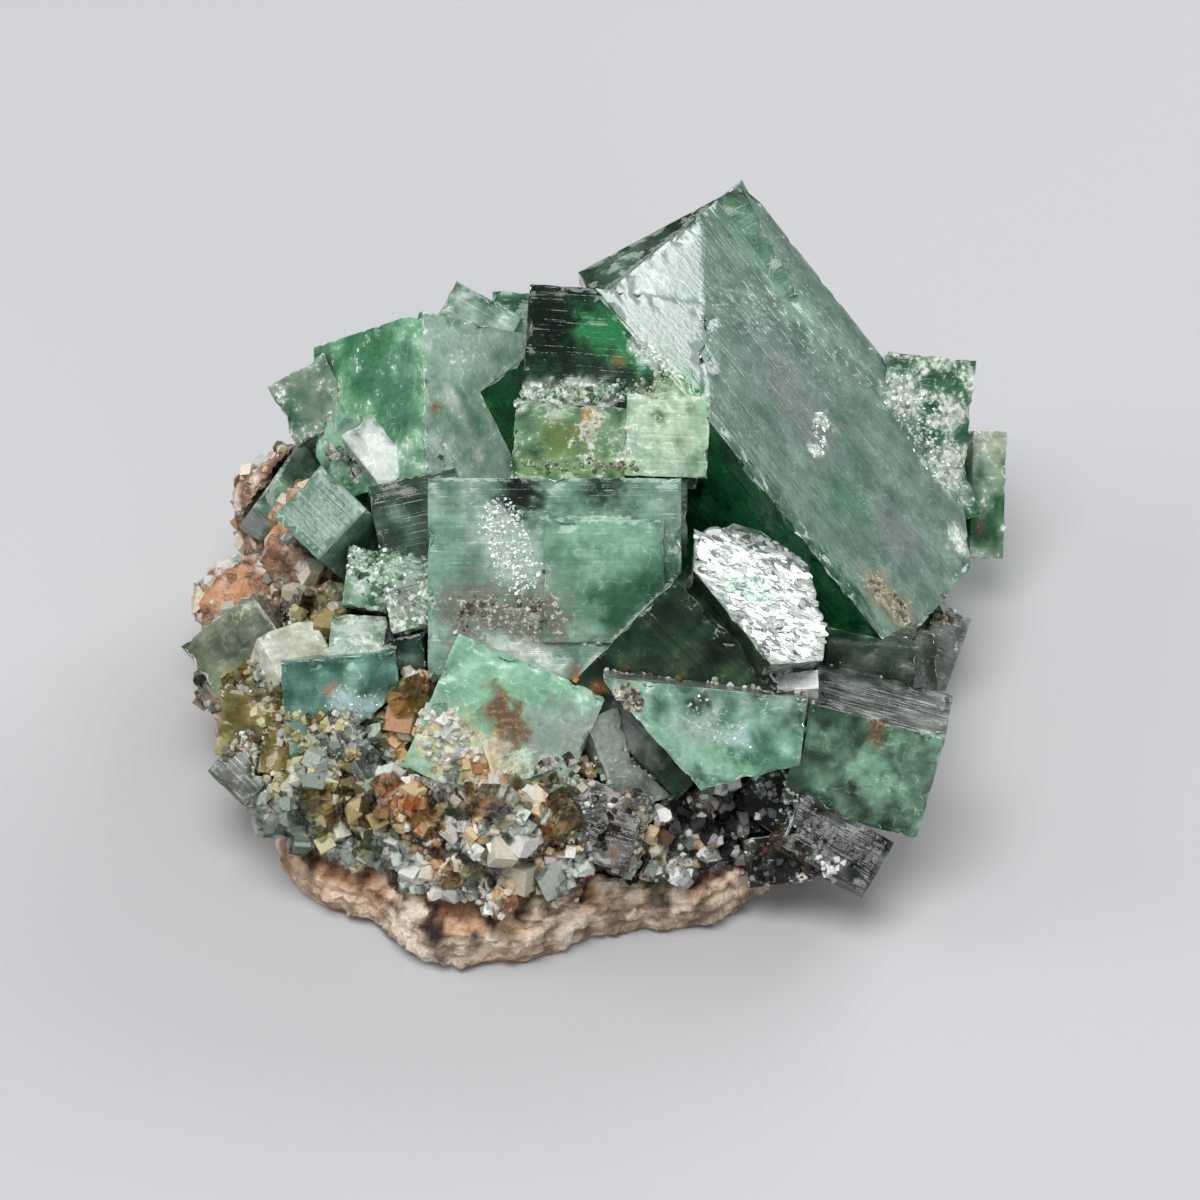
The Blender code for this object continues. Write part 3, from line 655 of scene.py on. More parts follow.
marks = [
    # the window's marks: painted shade at its top, a painted glow along its emerald band, and flakes with
    # painted highlights
    ("dark", [(-3.5, 1.8, 35.6)], 3.2, 1.0),
    ("emerald", [(-1.2, 1.6, 35.3), (2.7, 0.1, 33.4), (6.6, -0.5, 31.0)], 1.7, 1.0),
    ("flaky", [(2.7, 0.4, 34.2), (5.2, -0.4, 32.2)], 0.8, 0.9),
    ("rust", [(1.1, 0.2, 32.8)], 0.6, 0.8),
    ("olive", [(-3.1, -4.5, 28.6)], 2.4, 0.9),
    ("ochre", [(-1.3, -3.5, 30.0)], 0.9, 0.9),
    ("crusty", [(-6.6, -1.9, 30.8), (-0.4, -1.6, 31.2)], 1.2, 0.8),
    ("lime", [(-6.0, -5.7, 27.0), (1.5, -5.7, 27.0)], 1.0, 0.7),
    ("pale", [(5.0, -2.7, 31.3), (5.2, -4.2, 29.2)], 2.6, 0.6),
    ("dimple", [(4.1, -3.4, 30.3)], 0.6, 0.9),
    ("dimple", [(6.7, -3.2, 30.6)], 0.5, 0.9),
    ("dimple", [(5.6, -4.7, 28.7)], 0.6, 0.8),
    ("frost", [(2.6, 9.4, 33.6)], 2.6, 0.7),
    ("mint", [(11.0, 21.6, 31.8), (15.9, 17.3, 25.8)], 2.2, 0.4),
    ("mauve", [(14.0, 8.6, 26.0), (16.5, 4.5, 23.0)], 4.2, 0.5),
    ("flaky", [(17.4, 6.6, 22.5)], 0.8, 0.9),
    ("flaky", [(16.7, 2.6, 22.5)], 0.7, 0.9),
    ("crusty", [(24.2, 15.8, 17.9)], 2.0, 0.9),
    ("crusty", [(27.5, 11.4, 14.0)], 1.9, 0.9),
    ("crusty", [(28.8, 5.1, 11.6)], 1.6, 0.8),
    ("brownCrust", [(23.2, -7.8, 14.5), (21.6, -7.3, 16.1)], 2.0, 0.9),
    ("green", [(19.4, 0.0, 19.4)], 3.4, 0.45),
    ("mauve", [(23.5, -0.1, 15.6)], 3.4, 0.5),
    ("mint", [(17.5, -8.2, 19.7)], 1.4, 0.4),
    ("deepGreen", [(9.7, -4.9, 25.0), (14.4, -8.2, 19.7), (18.3, -10.4, 17.5)], 2.4, 0.8),
    ("green", [(-18.7, 6.8, 28.2), (-16.6, 2.5, 27.4)], 3.0, 0.75),
    ("mint", [(-21.8, 2.7, 23.4)], 3.0, 0.7),
    ("rust", [(-13.4, 0.6, 28.3)], 0.5, 0.9),
    ("white", [(-12.2, 2.3, 28.1), (-9.9, 0.2, 23.7)], 0.6, 0.8),
    ("green", [(-10.7, 1.2, 25.4)], 2.4, 0.5),
    ("brown", [(-8.0, -22.0, 16.5), (-6.9, -23.5, 14.7)], 1.5, 0.9),
    ("white", [(-8.1, -16.1, 17.6), (-3.0, -18.0, 17.0)], 1.2, 0.8),
    ("greyCloud", [(-3.5, -23.7, 14.4), (1.1, -23.0, 13.8)], 3.2, 0.8),
    ("cream", [(-12.2, -23.7, 14.4)], 2.6, 0.9),
    ("cream", [(-9.5, -25.1, 12.6)], 2.6, 0.9),
    ("crusty", [(1.5, -24.0, 18.5)], 1.5, 0.8),
    # on the front middle crystal: a spot of painted shade, then a painted bluish glint
    ("dark", [(7.1, -24.0, 18.2)], 0.8, 0.8),
    ("bluish", [(10.2, -25.4, 15.8)], 1.2, 0.8),
    ("mint", [(4.0, -25.2, 16.0), (10.0, -26.4, 13.6)], 1.3, 0.7),
    ("brown", [(20.7, -23.8, 16.9), (20.5, -24.4, 15.0)], 0.9, 0.9),
    ("mint", [(20.2, -24.9, 12.4)], 2.0, 0.7),
    ("mint", [(25.1, -24.8, 14.8)], 1.4, 0.6),
    ("frost", [(-8.1, -10.2, 25.2), (-6.6, -12.6, 22.1)], 2.0, 0.55),
    # painted shade: dark patches on the top of the broad crystal
    ("dark", [(-6.6, -8.9, 26.9)], 2.0, 0.9),
    ("dark", [(-0.4, -8.9, 26.9)], 2.0, 0.8),
    ("earth", [(-10.4, -14.5, 19.7), (-4.6, -15.0, 19.6)], 2.6, 0.9),
    ("deepGreen", [(1.1, -14.3, 20.5), (4.0, -12.5, 22.0)], 2.6, 0.7),
    ("mint", [(-0.4, -11.0, 24.8), (2.2, -11.6, 23.4)], 2.6, 0.5),
    ("rust", [(-21.2, -18.0, 14.7)], 0.7, 0.8),
    # painted glint: a pale blue highlight on the left front crystals
    ("bluish", [(-20.4, -18.6, 14.0), (-18.6, -18.8, 13.6)], 1.0, 0.7),
    ("rust", [(-2.3, -17.4, 15.9), (-0.4, -20.4, 16.6)], 0.6, 0.8),
    ("brown", [(31.2, 12.0, 7.6)], 0.6, 0.6),
]


def lookOf(code):
    look = dict(plainLook)
    if code < 0:
        return look
    name, side = blockNames[code // codesPerBlock], sideNames[code % codesPerBlock // 2]
    look.update(looks.get(name, {}))
    look.update(looks.get(f"{name} {side}", {}))
    return look


crystalFinish = dict(
    edgeWear=0.11,  # mm taken off the sharp edges
    wornAngle=28,  # degrees, edges blunter than this aren't worn
    smoothAngle=26,
    longest=dict(mainCrystals=0.76, others=0.58),  # mm, the longest edge left for the painted values
    chipDepth=0.5,
    chipReach=1.25,
    chipGain=2.2,
    chipStart=0.3,  # higher leaves more of the edges whole
    crustDepth=0.22,
    ior=1.434,
    ridgeStart=-5.0,  # mm, where the ridge of the great top face leaves its front edge
    ridgeSlant=1.46,
    # painted reflection: the pale tone, and how much of it lies on the great top face left of the ridge
    ridgeTone=(150, 168, 158),
    ridgeShare=0.85,
    rimTone=(214, 226, 216),
    rimShare=(0.45, 1.4, 0.9),  # mean, how much it varies, and the most
    grain=(2.3, 2, 0.62),  # scale per mm, detail and roughness of the noises in the material
    veil=(0.42, 2, 0.5),
    streak=(1.0, 2, 0.6),
    streakSizes=(0.10, 3.4, 3.4),  # the striations run along a crystal's width
    crackWidth=0.009,
    crackRamp=(0.0, 0.3),
    coverParts=(0.3, 0.8, 0.4),  # what grain, striations and cracks add to the cloudiness
    milkParts=(0.38, 0.8, 0.4),  # and to the brightness of the cloudy parts
    crustEdge=(0.30, 0.62),
    stainEdge=(0.34, 0.62),
    crustRagged=1.2,
    stainRagged=1.4,
    reliefParts=(0.5, 0.10, 1.1, 0.5),  # striations, plain grain, crust and stain
    bump=(0.7, 0.0003),
    clearRoughness=0.03,
    cloudRoughness=0.11,
    roughened=0.4,  # what a crust or a stain adds
    crustTones=[
        (0.30, (96, 112, 92)), (0.44, (160, 178, 156)), (0.56, (204, 212, 198)), (0.7, (236, 240, 234)),
    ],
    stainTones=[(0.36, (48, 34, 24)), (0.5, (96, 68, 44)), (0.66, (146, 112, 74))],
)


def stopsOf(tones):
    return [(spot, hue(*tone)) for spot, tone in tones]


def crystalMaterial(name, soak, thick):  # soak: the colour that a long way through it keeps
    kit = MaterialKit(name)
    facts = crystalFinish
    grow = kit.painted("grow", "Vector")
    tint, milk = kit.painted("tint"), kit.painted("milk")
    lines = kit.painted("tint", "Alpha")
    parts = kit.node("ShaderNodeSeparateColor", {}, {"Color": kit.painted("paint")})
    cloud, crust, stain = parts["Red"], parts["Green"], parts["Blue"]

    grain = kit.cloudy(kit.place(), *facts["grain"])
    veil = kit.cloudy(kit.place(), *facts["veil"])
    streak = kit.cloudy(kit.scaled(grow, facts["streakSizes"]), *facts["streak"])
    lined = (streak - 0.5) * lines
    rough = grain - 0.5
    thin = kit.maths("ABSOLUTE", veil - 0.5, 0.0).ramp(0.0, facts["crackWidth"], 1.0, 0.0)
    crack = thin * (grain - 0.35).ramp(*facts["crackRamp"])
    byGrain, byLines, byCrack = facts["coverParts"]
    cover = (cloud + rough * byGrain + lined * byLines + crack * byCrack).clamped()
    crustMask = (crust + rough * facts["crustRagged"]).ramp(*facts["crustEdge"])
    stainMask = (stain + rough * facts["stainRagged"]).ramp(*facts["stainEdge"])

    byGrain, byLines, byCrack = facts["milkParts"]
    milky = kit.lit(milk, 1.0 + rough * byGrain + lined * byLines + crack * byCrack)
    crusted = kit.blend(crustMask, milky, kit.ramped(grain, stopsOf(facts["crustTones"])))
    painted = kit.blend(stainMask, crusted, kit.ramped(grain, stopsOf(facts["stainTones"])))
    byLines, byGrain, byCrust, byStain = facts["reliefParts"]
    relief = lined * byLines + rough * (byGrain + crustMask * byCrust + stainMask * byStain)
    bump = kit.bumped(relief, *facts["bump"])
    clearSide = kit.glossy({
        "Base Color": tint, "Roughness": facts["clearRoughness"], "IOR": facts["ior"],
        "Transmission Weight": 1.0, "Normal": bump,
    })
    dull = facts["cloudRoughness"] + crustMask * facts["roughened"] + stainMask * facts["roughened"]
    cloudSide = kit.glossy({
        "Base Color": painted, "Roughness": dull.clamped(), "IOR": facts["ior"], "Normal": bump,
    })
    whole = cover.most(crustMask).most(stainMask)
    surface = kit.node("ShaderNodeMixShader", {}, {0: whole, 1: clearSide, 2: cloudSide})["Shader"]
    soaked = kit.node("ShaderNodeVolumeAbsorption", {}, {"Color": soak, "Density": thick})["Volume"]
    return kit.finish(surface, soaked)


def splitLong(item, longest, passes=9):  # cuts edges in two until none is longer
    pick(item)
    for _ in range(passes):
        bpy.ops.object.mode_set(mode="EDIT")
        bpy.ops.mesh.select_mode(type="EDGE")
        bpy.ops.mesh.select_all(action="DESELECT")
        mesh = bmesh.from_edit_mesh(item.data)
        found = 0
        for edge in mesh.edges:
            if edge.calc_length() > longest * mm:
                edge.select_set(True)
                found += 1
        bmesh.update_edit_mesh(item.data)
        if found:
            bpy.ops.mesh.subdivide(number_cuts=1)
            bpy.ops.mesh.select_all(action="SELECT")
            bpy.ops.mesh.quads_convert_to_tris(quad_method="BEAUTY", ngon_method="BEAUTY")
        bpy.ops.object.mode_set(mode="OBJECT")
        if not found:
            break


merging = dict(
    distance=2e-6,  # m
    flatAngle=0.4,  # degrees
    sharpAngle=22,
)


def copyOf(node, name):  # a merged copy of a solid, with its flat faces whole again
    source = cadNodes[node]
    item = bpy.data.objects.new(name, source.data.copy())
    bpy.context.scene.collection.objects.link(item)
    item.data.materials.clear()
    pick(item)
    bpy.ops.object.mode_set(mode="EDIT")
    bpy.ops.mesh.select_all(action="SELECT")
    bpy.ops.mesh.remove_doubles(threshold=merging["distance"])
    bpy.ops.mesh.dissolve_limited(angle_limit=math.radians(merging["flatAngle"]))
    bpy.ops.object.mode_set(mode="OBJECT")
    return item


def sharpSpots(item, step=0.35):  # points along the edges that stand out, and along the creases
    mesh = bmesh.new()
    mesh.from_mesh(item.data)
    ridges, creases = [], []
    for edge in mesh.edges:
        if len(edge.link_faces) != 2:
            continue
        angle = edge.calc_face_angle_signed(0.0)
        if abs(angle) < math.radians(merging["sharpAngle"]):
            continue
        start, end = (vert.co.copy() for vert in edge.verts)
        count = max(1, int((end - start).length / (step * mm)))
        kept = ridges if angle > 0 else creases
        kept.extend(start.lerp(end, (number + 0.5) / count) for number in range(count))
    mesh.free()
    return ridges, creases


def wearEdges(item, width):
    pick(item)
    worn = item.modifiers.new("wornEdges", "BEVEL")
    worn.limit_method = "ANGLE"
    worn.angle_limit = math.radians(crystalFinish["wornAngle"])
    worn.width = width * mm
    worn.segments = 1
    worn.use_clamp_overlap = True
    bpy.ops.object.modifier_apply(modifier=worn.name)


def pointsOf(mesh):  # in mm
    flat = numpy.empty(len(mesh.vertices) * 3, dtype=numpy.float32)
    mesh.vertices.foreach_get("co", flat)
    return flat.reshape(-1, 3).astype(float) / mm


def normalsOf(mesh):
    flat = numpy.empty(len(mesh.vertices) * 3, dtype=numpy.float32)
    mesh.vertex_normals.foreach_get("vector", flat)
    return flat.reshape(-1, 3).astype(float)


def moved(mesh, points, low, high):  # the points put back, kept inside the solid's box
    inside = numpy.clip(points * mm, numpy.array(low), numpy.array(high))
    mesh.vertices.foreach_set("co", inside.astype(numpy.float32).ravel())
    mesh.update()


noises = dict(  # scale per mm, octaves and shift of each soft noise
    broad=(0.17, 3, 0.0),
    mottle=(0.55, 3, 4.0),
    fine=(1.3, 2, 9.0),
    chips=(0.7, 3, 21.0),
    lumps=(1.5, 2, 33.0),
    rockBroad=(0.16, 3, 2.0),
    rockMottle=(0.5, 3, 7.0),
    rockFine=(1.6, 2, 5.0),
    strata=(1.0, 3, 17.0),
    rockLumps=(0.9, 4, 13.0),
    rockGrit=(2.2, 2, 3.0),
    grainPatches=(0.24, 2, 8.0),
)


def field(points, kind):  # soft noise, about -0.6 to 0.6
    scale, octaves, shift = noises[kind]
    away = Vector((shift, -1.7 * shift, 0.6 * shift))
    return numpy.array([noise.fractal(Vector(point) * scale + away, 1.0, 2.0, octaves) for point in points])


def nearLine(points, spots):  # distance of each point to a line through the spots
    best = numpy.full(len(points), 1e9)
    ends = [numpy.array(spot, dtype=float) for spot in spots]
    for start, end in zip(ends, ends[1:] or ends):
        way = end - start
        share = numpy.clip((points - start) @ way / max(way @ way, 1e-9), 0, 1)
        best = numpy.minimum(best, numpy.linalg.norm(points - start - share[:, None] * way, axis=1))
    return best


def mixed(first, second, share):
    share = share[:, None] if first.ndim > 1 else share
    return first * (1 - share) + second * share


mottling = dict(
    tone=(0.9, 0.8, 0.25),  # shares of the broad, middle and fine noise
    evenTone=0.5,  # how patchy a crystal with no patches still is
    bright=1.15,
    deep=1.25,
    cloud=(0.6, 0.7),  # middle noise clouds, broad noise clears
    crust=(0.55, 0.3),
    stain=(0.5, 0.5),
    markEdge=(1.15, 1.5, 1.1, 1.8),  # start, slope, raggedness and cutoff of a mark
)


class Paint:  # the look of every corner of a mesh, worked out from its crystal, noise and the marks
    def __init__(self, mesh):
        self.points = pointsOf(mesh)
        count = len(mesh.loops)
        self.vertex = numpy.empty(count, dtype=numpy.int32)
        mesh.loops.foreach_get("vertex_index", self.vertex)
        faceCode = numpy.empty(len(mesh.polygons), dtype=numpy.int32)
        mesh.attributes["owner"].data.foreach_get("value", faceCode)
        sizes = numpy.empty(len(mesh.polygons), dtype=numpy.int32)
        mesh.polygons.foreach_get("loop_total", sizes)
        self.code = numpy.repeat(faceCode, sizes)
        self.grow = self.points[self.vertex].copy()
        self.values = {key: numpy.zeros((count, 3)) for key in ("tint", "milk", "deep", "bright")}
        for key in ("cloud", "patch", "crust", "stain", "lines"):
            self.values[key] = numpy.zeros(count)
        for code in numpy.unique(self.code):
            here = self.code == code
            look = lookOf(code)
            for key, value in self.values.items():
                value[here] = hue(*look[key])[:3] if value.ndim > 1 else look[key]
            if code >= 0:
                block = grown[blockNames[code // codesPerBlock]]
                self.grow[here] = block.locals(self.points[self.vertex[here]])

    def cloud(self):
        values, vertex = self.values, self.vertex
        broad, mottle, fine = (field(self.points, kind) for kind in ("broad", "mottle", "fine"))
        self.fine = fine
        byBroad, byMottle, byFine = mottling["tone"]
        tone = (broad * byBroad + mottle * byMottle + fine * byFine)[vertex]
        tone *= mottling["evenTone"] + values["patch"]
        values["milk"] = mixed(values["milk"], values["bright"], numpy.clip(tone * mottling["bright"], 0, 1))
        values["milk"] = mixed(values["milk"], values["deep"], numpy.clip(-tone * mottling["deep"], 0, 1))
        clouding, clearing = mottling["cloud"]
        values["cloud"] += values["patch"] * (mottle * clouding - broad * clearing)[vertex]
        byMottle, byFine = mottling["crust"]
        values["crust"] += (values["crust"] > 0) * (mottle * byMottle + fine * byFine)[vertex]
        byBroad, byMottle = mottling["stain"]
        values["stain"] += (values["stain"] > 0) * (broad * byBroad + mottle * byMottle)[vertex]

    def mark(self):
        start, slope, ragged, cutoff = mottling["markEdge"]
        for kind, spots, reach, amount in marks:
            away = nearLine(self.points, spots)
            share = numpy.clip((start - away / reach) * slope + self.fine * ragged, 0, 1) * amount
            share[away > cutoff * reach] = 0
            if not share.any():
                continue
            share = share[self.vertex]
            for key, target in markKinds[kind].items():
                target = numpy.array(hue(*target)[:3]) if isinstance(target, tuple) else target
                self.values[key] = mixed(self.values[key], target, share)

    def rim(self):  # worn edges are pale, here and there
        worn = (self.code >= 0) & (self.code % 2 == 1)
        mean, varied, most = crystalFinish["rimShare"]
        share = worn * numpy.clip(mean + self.fine[self.vertex] * varied, 0, most)
        pale = (self.values["bright"] + numpy.array(hue(*crystalFinish["rimTone"])[:3])) / 2
        self.values["milk"] = mixed(self.values["milk"], pale, share)
        self.values["cloud"] = mixed(self.values["cloud"], 1.0, share)

    def lay(self, mesh):
        for key in ("tint", "milk", "paint"):
            mesh.attributes.new(name=key, type="FLOAT_COLOR", domain="CORNER")
        mesh.attributes.new(name="grow", type="FLOAT_VECTOR", domain="CORNER")
        values, ones = self.values, numpy.ones(len(self.code))
        layers = {
            "tint": (values["tint"], values["lines"]), "milk": (values["milk"], ones),
            "paint": (numpy.stack([values["cloud"], values["crust"], values["stain"]], 1), ones),
        }
        for key, (colour, alpha) in layers.items():
            flat = numpy.concatenate([colour, alpha[:, None]], 1).clip(0, 1)
            mesh.attributes[key].data.foreach_set("color", flat.astype(numpy.float32).ravel())
        mesh.attributes["grow"].data.foreach_set("vector", self.grow.astype(numpy.float32).ravel())


def chipped(points, normals, ridges, paint):  # broken edges and the lumps and pits of crusts
    tree = kdtree.KDTree(len(ridges))
    for number, spot in enumerate(ridges):
        tree.insert(spot / mm, number)
    tree.balance()
    facts = crystalFinish
    away = numpy.array([tree.find(Vector(point))[2] for point in points])
    chips = numpy.clip(field(points, "chips") * facts["chipGain"] - facts["chipStart"], 0, 1)
    depth = chips * facts["chipDepth"] * numpy.clip(1 - away / facts["chipReach"], 0, 1)
    crust = numpy.zeros(len(points))
    numpy.maximum.at(crust, paint.vertex, numpy.clip(paint.values["crust"], 0, 1))
    lumps = field(points, "lumps") * crust * facts["crustDepth"] * 2
    return points - normals * (depth + numpy.clip(lumps, -0.2, 0.3))[:, None]  # mm in and out at most


def paintRidgeReflection(paint):  # left of the ridge the great top face is smooth and pale: a painted reflection of the overhead light
    facts = crystalFinish
    topCode = blockNames.index("great") * codesPerBlock + sideNames.index("top") * 2
    along = paint.grow[:, 0] - facts["ridgeStart"]
    share = ((paint.code == topCode) & (paint.grow[:, 2] > facts["ridgeSlant"] * along)) * facts["ridgeShare"]
    tone = numpy.array(hue(*facts["ridgeTone"])[:3])
    for key, target in (("milk", tone), ("cloud", 0.95), ("lines", 0.12)):
        paint.values[key] = mixed(paint.values[key], target, share)


creases = []


def dressCrystals(node, name, soak, thick):
    item = copyOf(node, name)
    ridges, folds = sharpSpots(item)
    creases.extend(folds)
    wearEdges(item, crystalFinish["edgeWear"])
    mesh = item.data
    mesh.attributes.new(name="owner", type="INT", domain="FACE")
    owners = [ownerOf(face.center, face.normal) for face in mesh.polygons]
    mesh.attributes["owner"].data.foreach_set("value", owners)
    longest = crystalFinish["longest"]
    splitLong(item, longest.get(name, longest["others"]))
    paint = Paint(mesh)
    paint.cloud()
    if name == "mainCrystals":
        paintRidgeReflection(paint)
    paint.mark()
    paint.rim()
    points = chipped(paint.points, normalsOf(mesh), ridges, paint)
    moved(mesh, points, *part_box(node))
    paint.lay(mesh)
    pick(item)
    bpy.ops.object.shade_smooth_by_angle(angle=math.radians(crystalFinish["smoothAngle"]))
    mesh.materials.append(crystalMaterial(name, soak, thick))
    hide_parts(node)
    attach(item, "root")
    print("dressed", name, len(mesh.polygons), "faces")
    return item


crystalPieces = {  # node, the colour that a long way through it keeps, and how fast it gets there
    "mainCrystals": ("main_crystals", hue(72, 196, 132), 135),
    "leftCrystals": ("left_crystals", hue(130, 200, 170), 105),
    "frontMiddleCrystal": ("front_middle_crystal", hue(140, 215, 180), 90),
    "frontRightCrystals": ("front_right_crystals", hue(110, 184, 144), 140),
    "frontLeftCrystals": ("front_left_crystals", hue(150, 200, 170), 105),
    "lowerLeftCrystal": ("lower_left_crystal", hue(180, 200, 185), 90),
    "rightChip": ("right_chip", hue(170, 195, 180), 120),
}
dressed = {name: dressCrystals(facts[0], name, *facts[1:]) for name, facts in crystalPieces.items()}


# The rock
rockFinish = dict(
    voxel=0.42,
    slabTop=3.9,  # mm, where the iron layer starts
    ironTop=5.6,
    roughness=0.42,  # mm
    lumpParts=(0.5, 1.4, 0.9),  # what grit, broken corners and layers add to the lumps
    brokenScale=0.55,
    layerSizes=(0.35, 0.35, 2.6),  # the slab's layers are flat
    sunk=0.08,  # mm, all of it lies this much inside the solid
    flatUnder=0.3,  # mm, what is lower becomes the flat underside
    footFade=0.8,
    smoothAngle=22,
    peachFrom=3.0,
    bareFrom=(-22.5, -9.0),  # mm, left of the first and behind the second the rock is bare
    orange=(206, 152, 110),
    ragged=1.4,  # how far the edges between the layers wander
    paintAbove=0.2,  # mm, the slab's paint reaches over its top
    begins=(2.0, 1.2, 1.5, 0.5),  # per mm, how sharply slab, iron, peach and bare rock begin
    peachPatches=(4.0, 0.7),
    orangePatches=(5.0, -1.0),
    orangeShare=(0.3, 0.5),  # everywhere, and added on the bare rock
    grain=(2.6, 3, 0.65),
    light=(0.62, 0.84),  # least, and what the grain adds
    dull=(0.45, 0.5),
    bump=(0.8, 0.0005),
    tones=dict(
        slab=[
            (-0.5, (124, 108, 92)), (-0.1, (172, 152, 130)), (0.15, (204, 184, 160)), (0.5, (224, 212, 194)),
        ],
        peach=[
            (-0.5, (150, 106, 72)), (-0.05, (204, 164, 128)), (0.25, (224, 192, 162)), (0.5, (232, 214, 194)),
        ],
        iron=[
            (-0.4, (34, 20, 15)), (0.0, (66, 38, 26)), (0.3, (112, 66, 40)), (0.5, (168, 112, 70)),
        ],
        druse=[
            (-0.5, (70, 64, 50)), (-0.15, (132, 124, 98)), (0.1, (176, 164, 132)), (0.45, (208, 202, 186)),
        ],
        bare=[
            (-0.4, (112, 84, 68)), (-0.1, (164, 130, 108)), (0.15, (204, 172, 150)), (0.45, (228, 218, 208)),
        ],
    ),
)


def rockMaterial():
    kit = MaterialKit("hostRock")
    grain = kit.cloudy(kit.place(), *rockFinish["grain"])
    darkest, byGrain = rockFinish["light"]
    smoothest, duller = rockFinish["dull"]
    return kit.finish(kit.glossy({
        "Base Color": kit.lit(kit.painted("paint"), darkest + grain * byGrain),
        "Roughness": (smoothest + grain * duller).clamped(),
        "Normal": kit.bumped(grain, *rockFinish["bump"]),
    }))


def rampOf(value, stops):  # a colour ramp over an array
    spots = [spot for spot, _ in stops]
    colours = numpy.array([hue(*colour)[:3] for _, colour in stops])
    return numpy.stack([numpy.interp(value, spots, colours[:, part]) for part in range(3)], 1)


def rockColours(points):
    facts = rockFinish
    broad, mottle, fine = (field(points, kind) for kind in ("rockBroad", "rockMottle", "rockFine"))
    x, y, z = points.T
    tone = mottle + fine / 2
    slab, peach, iron, druse, bare = (rampOf(tone, stops) for stops in facts["tones"].values())
    edge = mottle * facts["ragged"]
    toSlab, toIron, toPeach, toBare = facts["begins"]
    onSlab = numpy.clip((facts["slabTop"] + facts["paintAbove"] + edge - z) * toSlab, 0, 1)
    onIron = numpy.clip((facts["ironTop"] + 2 * broad + edge - z) * toIron, 0, 1)
    gain, start = facts["peachPatches"]
    onPeach = numpy.clip((z - facts["peachFrom"]) * toPeach + edge, 0, 1)
    onPeach *= numpy.clip(broad * gain + start, 0, 1)
    colour = mixed(mixed(druse, iron, onIron), mixed(slab, peach, onPeach), onSlab)
    bareLeft, bareBack = facts["bareFrom"]
    onBare = numpy.clip((bareLeft - x) * toBare + edge, 0, 1) * numpy.clip((y - bareBack) * toBare, 0, 1)
    colour = mixed(colour, bare, onBare)
    gain, start = facts["orangePatches"]
    everywhere, byBare = facts["orangeShare"]
    orange = numpy.clip(broad * gain + fine + start, 0, 1) * (everywhere + byBare * onBare)
    return mixed(colour, numpy.array(hue(*facts["orange"])[:3]), orange)


def rockLift(points):  # how far the rough surface stands out, in mm
    facts = rockFinish
    byGrit, byBroken, byLayers = facts["lumpParts"]
    broken = numpy.array([noise.voronoi(Vector(point) * facts["brokenScale"])[0][0] for point in points])
    layers = field(points * numpy.array(facts["layerSizes"]), "strata") * (points[:, 2] < facts["slabTop"])
    rough = field(points, "rockLumps") + field(points, "rockGrit") * byGrit
    rough += (0.5 - broken) * byBroken + layers * byLayers
    return rough * facts["roughness"] * numpy.clip(points[:, 2] / facts["footFade"], 0, 1) - facts["sunk"]


def dressRock():
    rock = copyOf("matrix", "hostRock")
    pick(rock)
    even = rock.modifiers.new("evenGrid", "REMESH")
    even.mode = "VOXEL"
    even.voxel_size = rockFinish["voxel"] * mm
    bpy.ops.object.modifier_apply(modifier=even.name)
    mesh = rock.data
    points = pointsOf(mesh)
    points += normalsOf(mesh) * rockLift(points)[:, None]
    points[:, 2] = numpy.where(points[:, 2] < rockFinish["flatUnder"], 0.0, points[:, 2])
    moved(mesh, points, *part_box("matrix"))
    mesh.attributes.new(name="paint", type="FLOAT_COLOR", domain="POINT")
    colours = numpy.concatenate([rockColours(points), numpy.ones((len(points), 1))], 1)
    mesh.attributes["paint"].data.foreach_set("color", colours.astype(numpy.float32).ravel())
    bpy.ops.object.shade_smooth_by_angle(angle=math.radians(rockFinish["smoothAngle"]))
    mesh.materials.append(rockMaterial())
    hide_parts("matrix")
    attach(rock, "root")
    print("dressed hostRock", len(mesh.polygons), "faces")
    return rock


rock = dressRock()


# Small things: modelled once, then copied many times into one mesh
class Shape:  # a modelled grain as arrays
    def __init__(self, item):
        pick(item)
        bpy.ops.object.mode_set(mode="EDIT")
        bpy.ops.mesh.select_all(action="SELECT")
        bpy.ops.mesh.quads_convert_to_tris(quad_method="BEAUTY", ngon_method="BEAUTY")
        bpy.ops.mesh.normals_make_consistent(inside=False)
        bpy.ops.object.mode_set(mode="OBJECT")
        self.points = numpy.array([vert.co[:] for vert in item.data.vertices])
        self.faces = numpy.array([face.vertices[:] for face in item.data.polygons])
        bpy.data.objects.remove(item)


def cutCube(cuts, flat=1.0):  # a small cube cut by planes, each given by a point on it and its facing
    letGo()
    bpy.ops.mesh.primitive_cube_add(size=1.0)
    item = bpy.context.object
    bpy.ops.object.mode_set(mode="EDIT")
    for place, normal in cuts:
        bpy.ops.mesh.select_all(action="SELECT")
        bpy.ops.mesh.bisect(plane_co=place, plane_no=normal, use_fill=True, clear_outer=True)
    bpy.ops.mesh.select_all(action="SELECT")
    bpy.ops.transform.resize(value=(1, 1, flat))
    bpy.ops.object.mode_set(mode="OBJECT")
    return Shape(item)


def lump(seed, radius=0.55, uneven=0.16):  # a rounded crumb
    letGo()
    bpy.ops.mesh.primitive_ico_sphere_add(subdivisions=1, radius=radius)
    item = bpy.context.object
    bpy.ops.object.mode_set(mode="EDIT")
    bpy.ops.mesh.select_all(action="SELECT")
    bpy.ops.transform.vertex_random(offset=uneven, seed=seed)
    bpy.ops.object.mode_set(mode="OBJECT")
    return Shape(item)


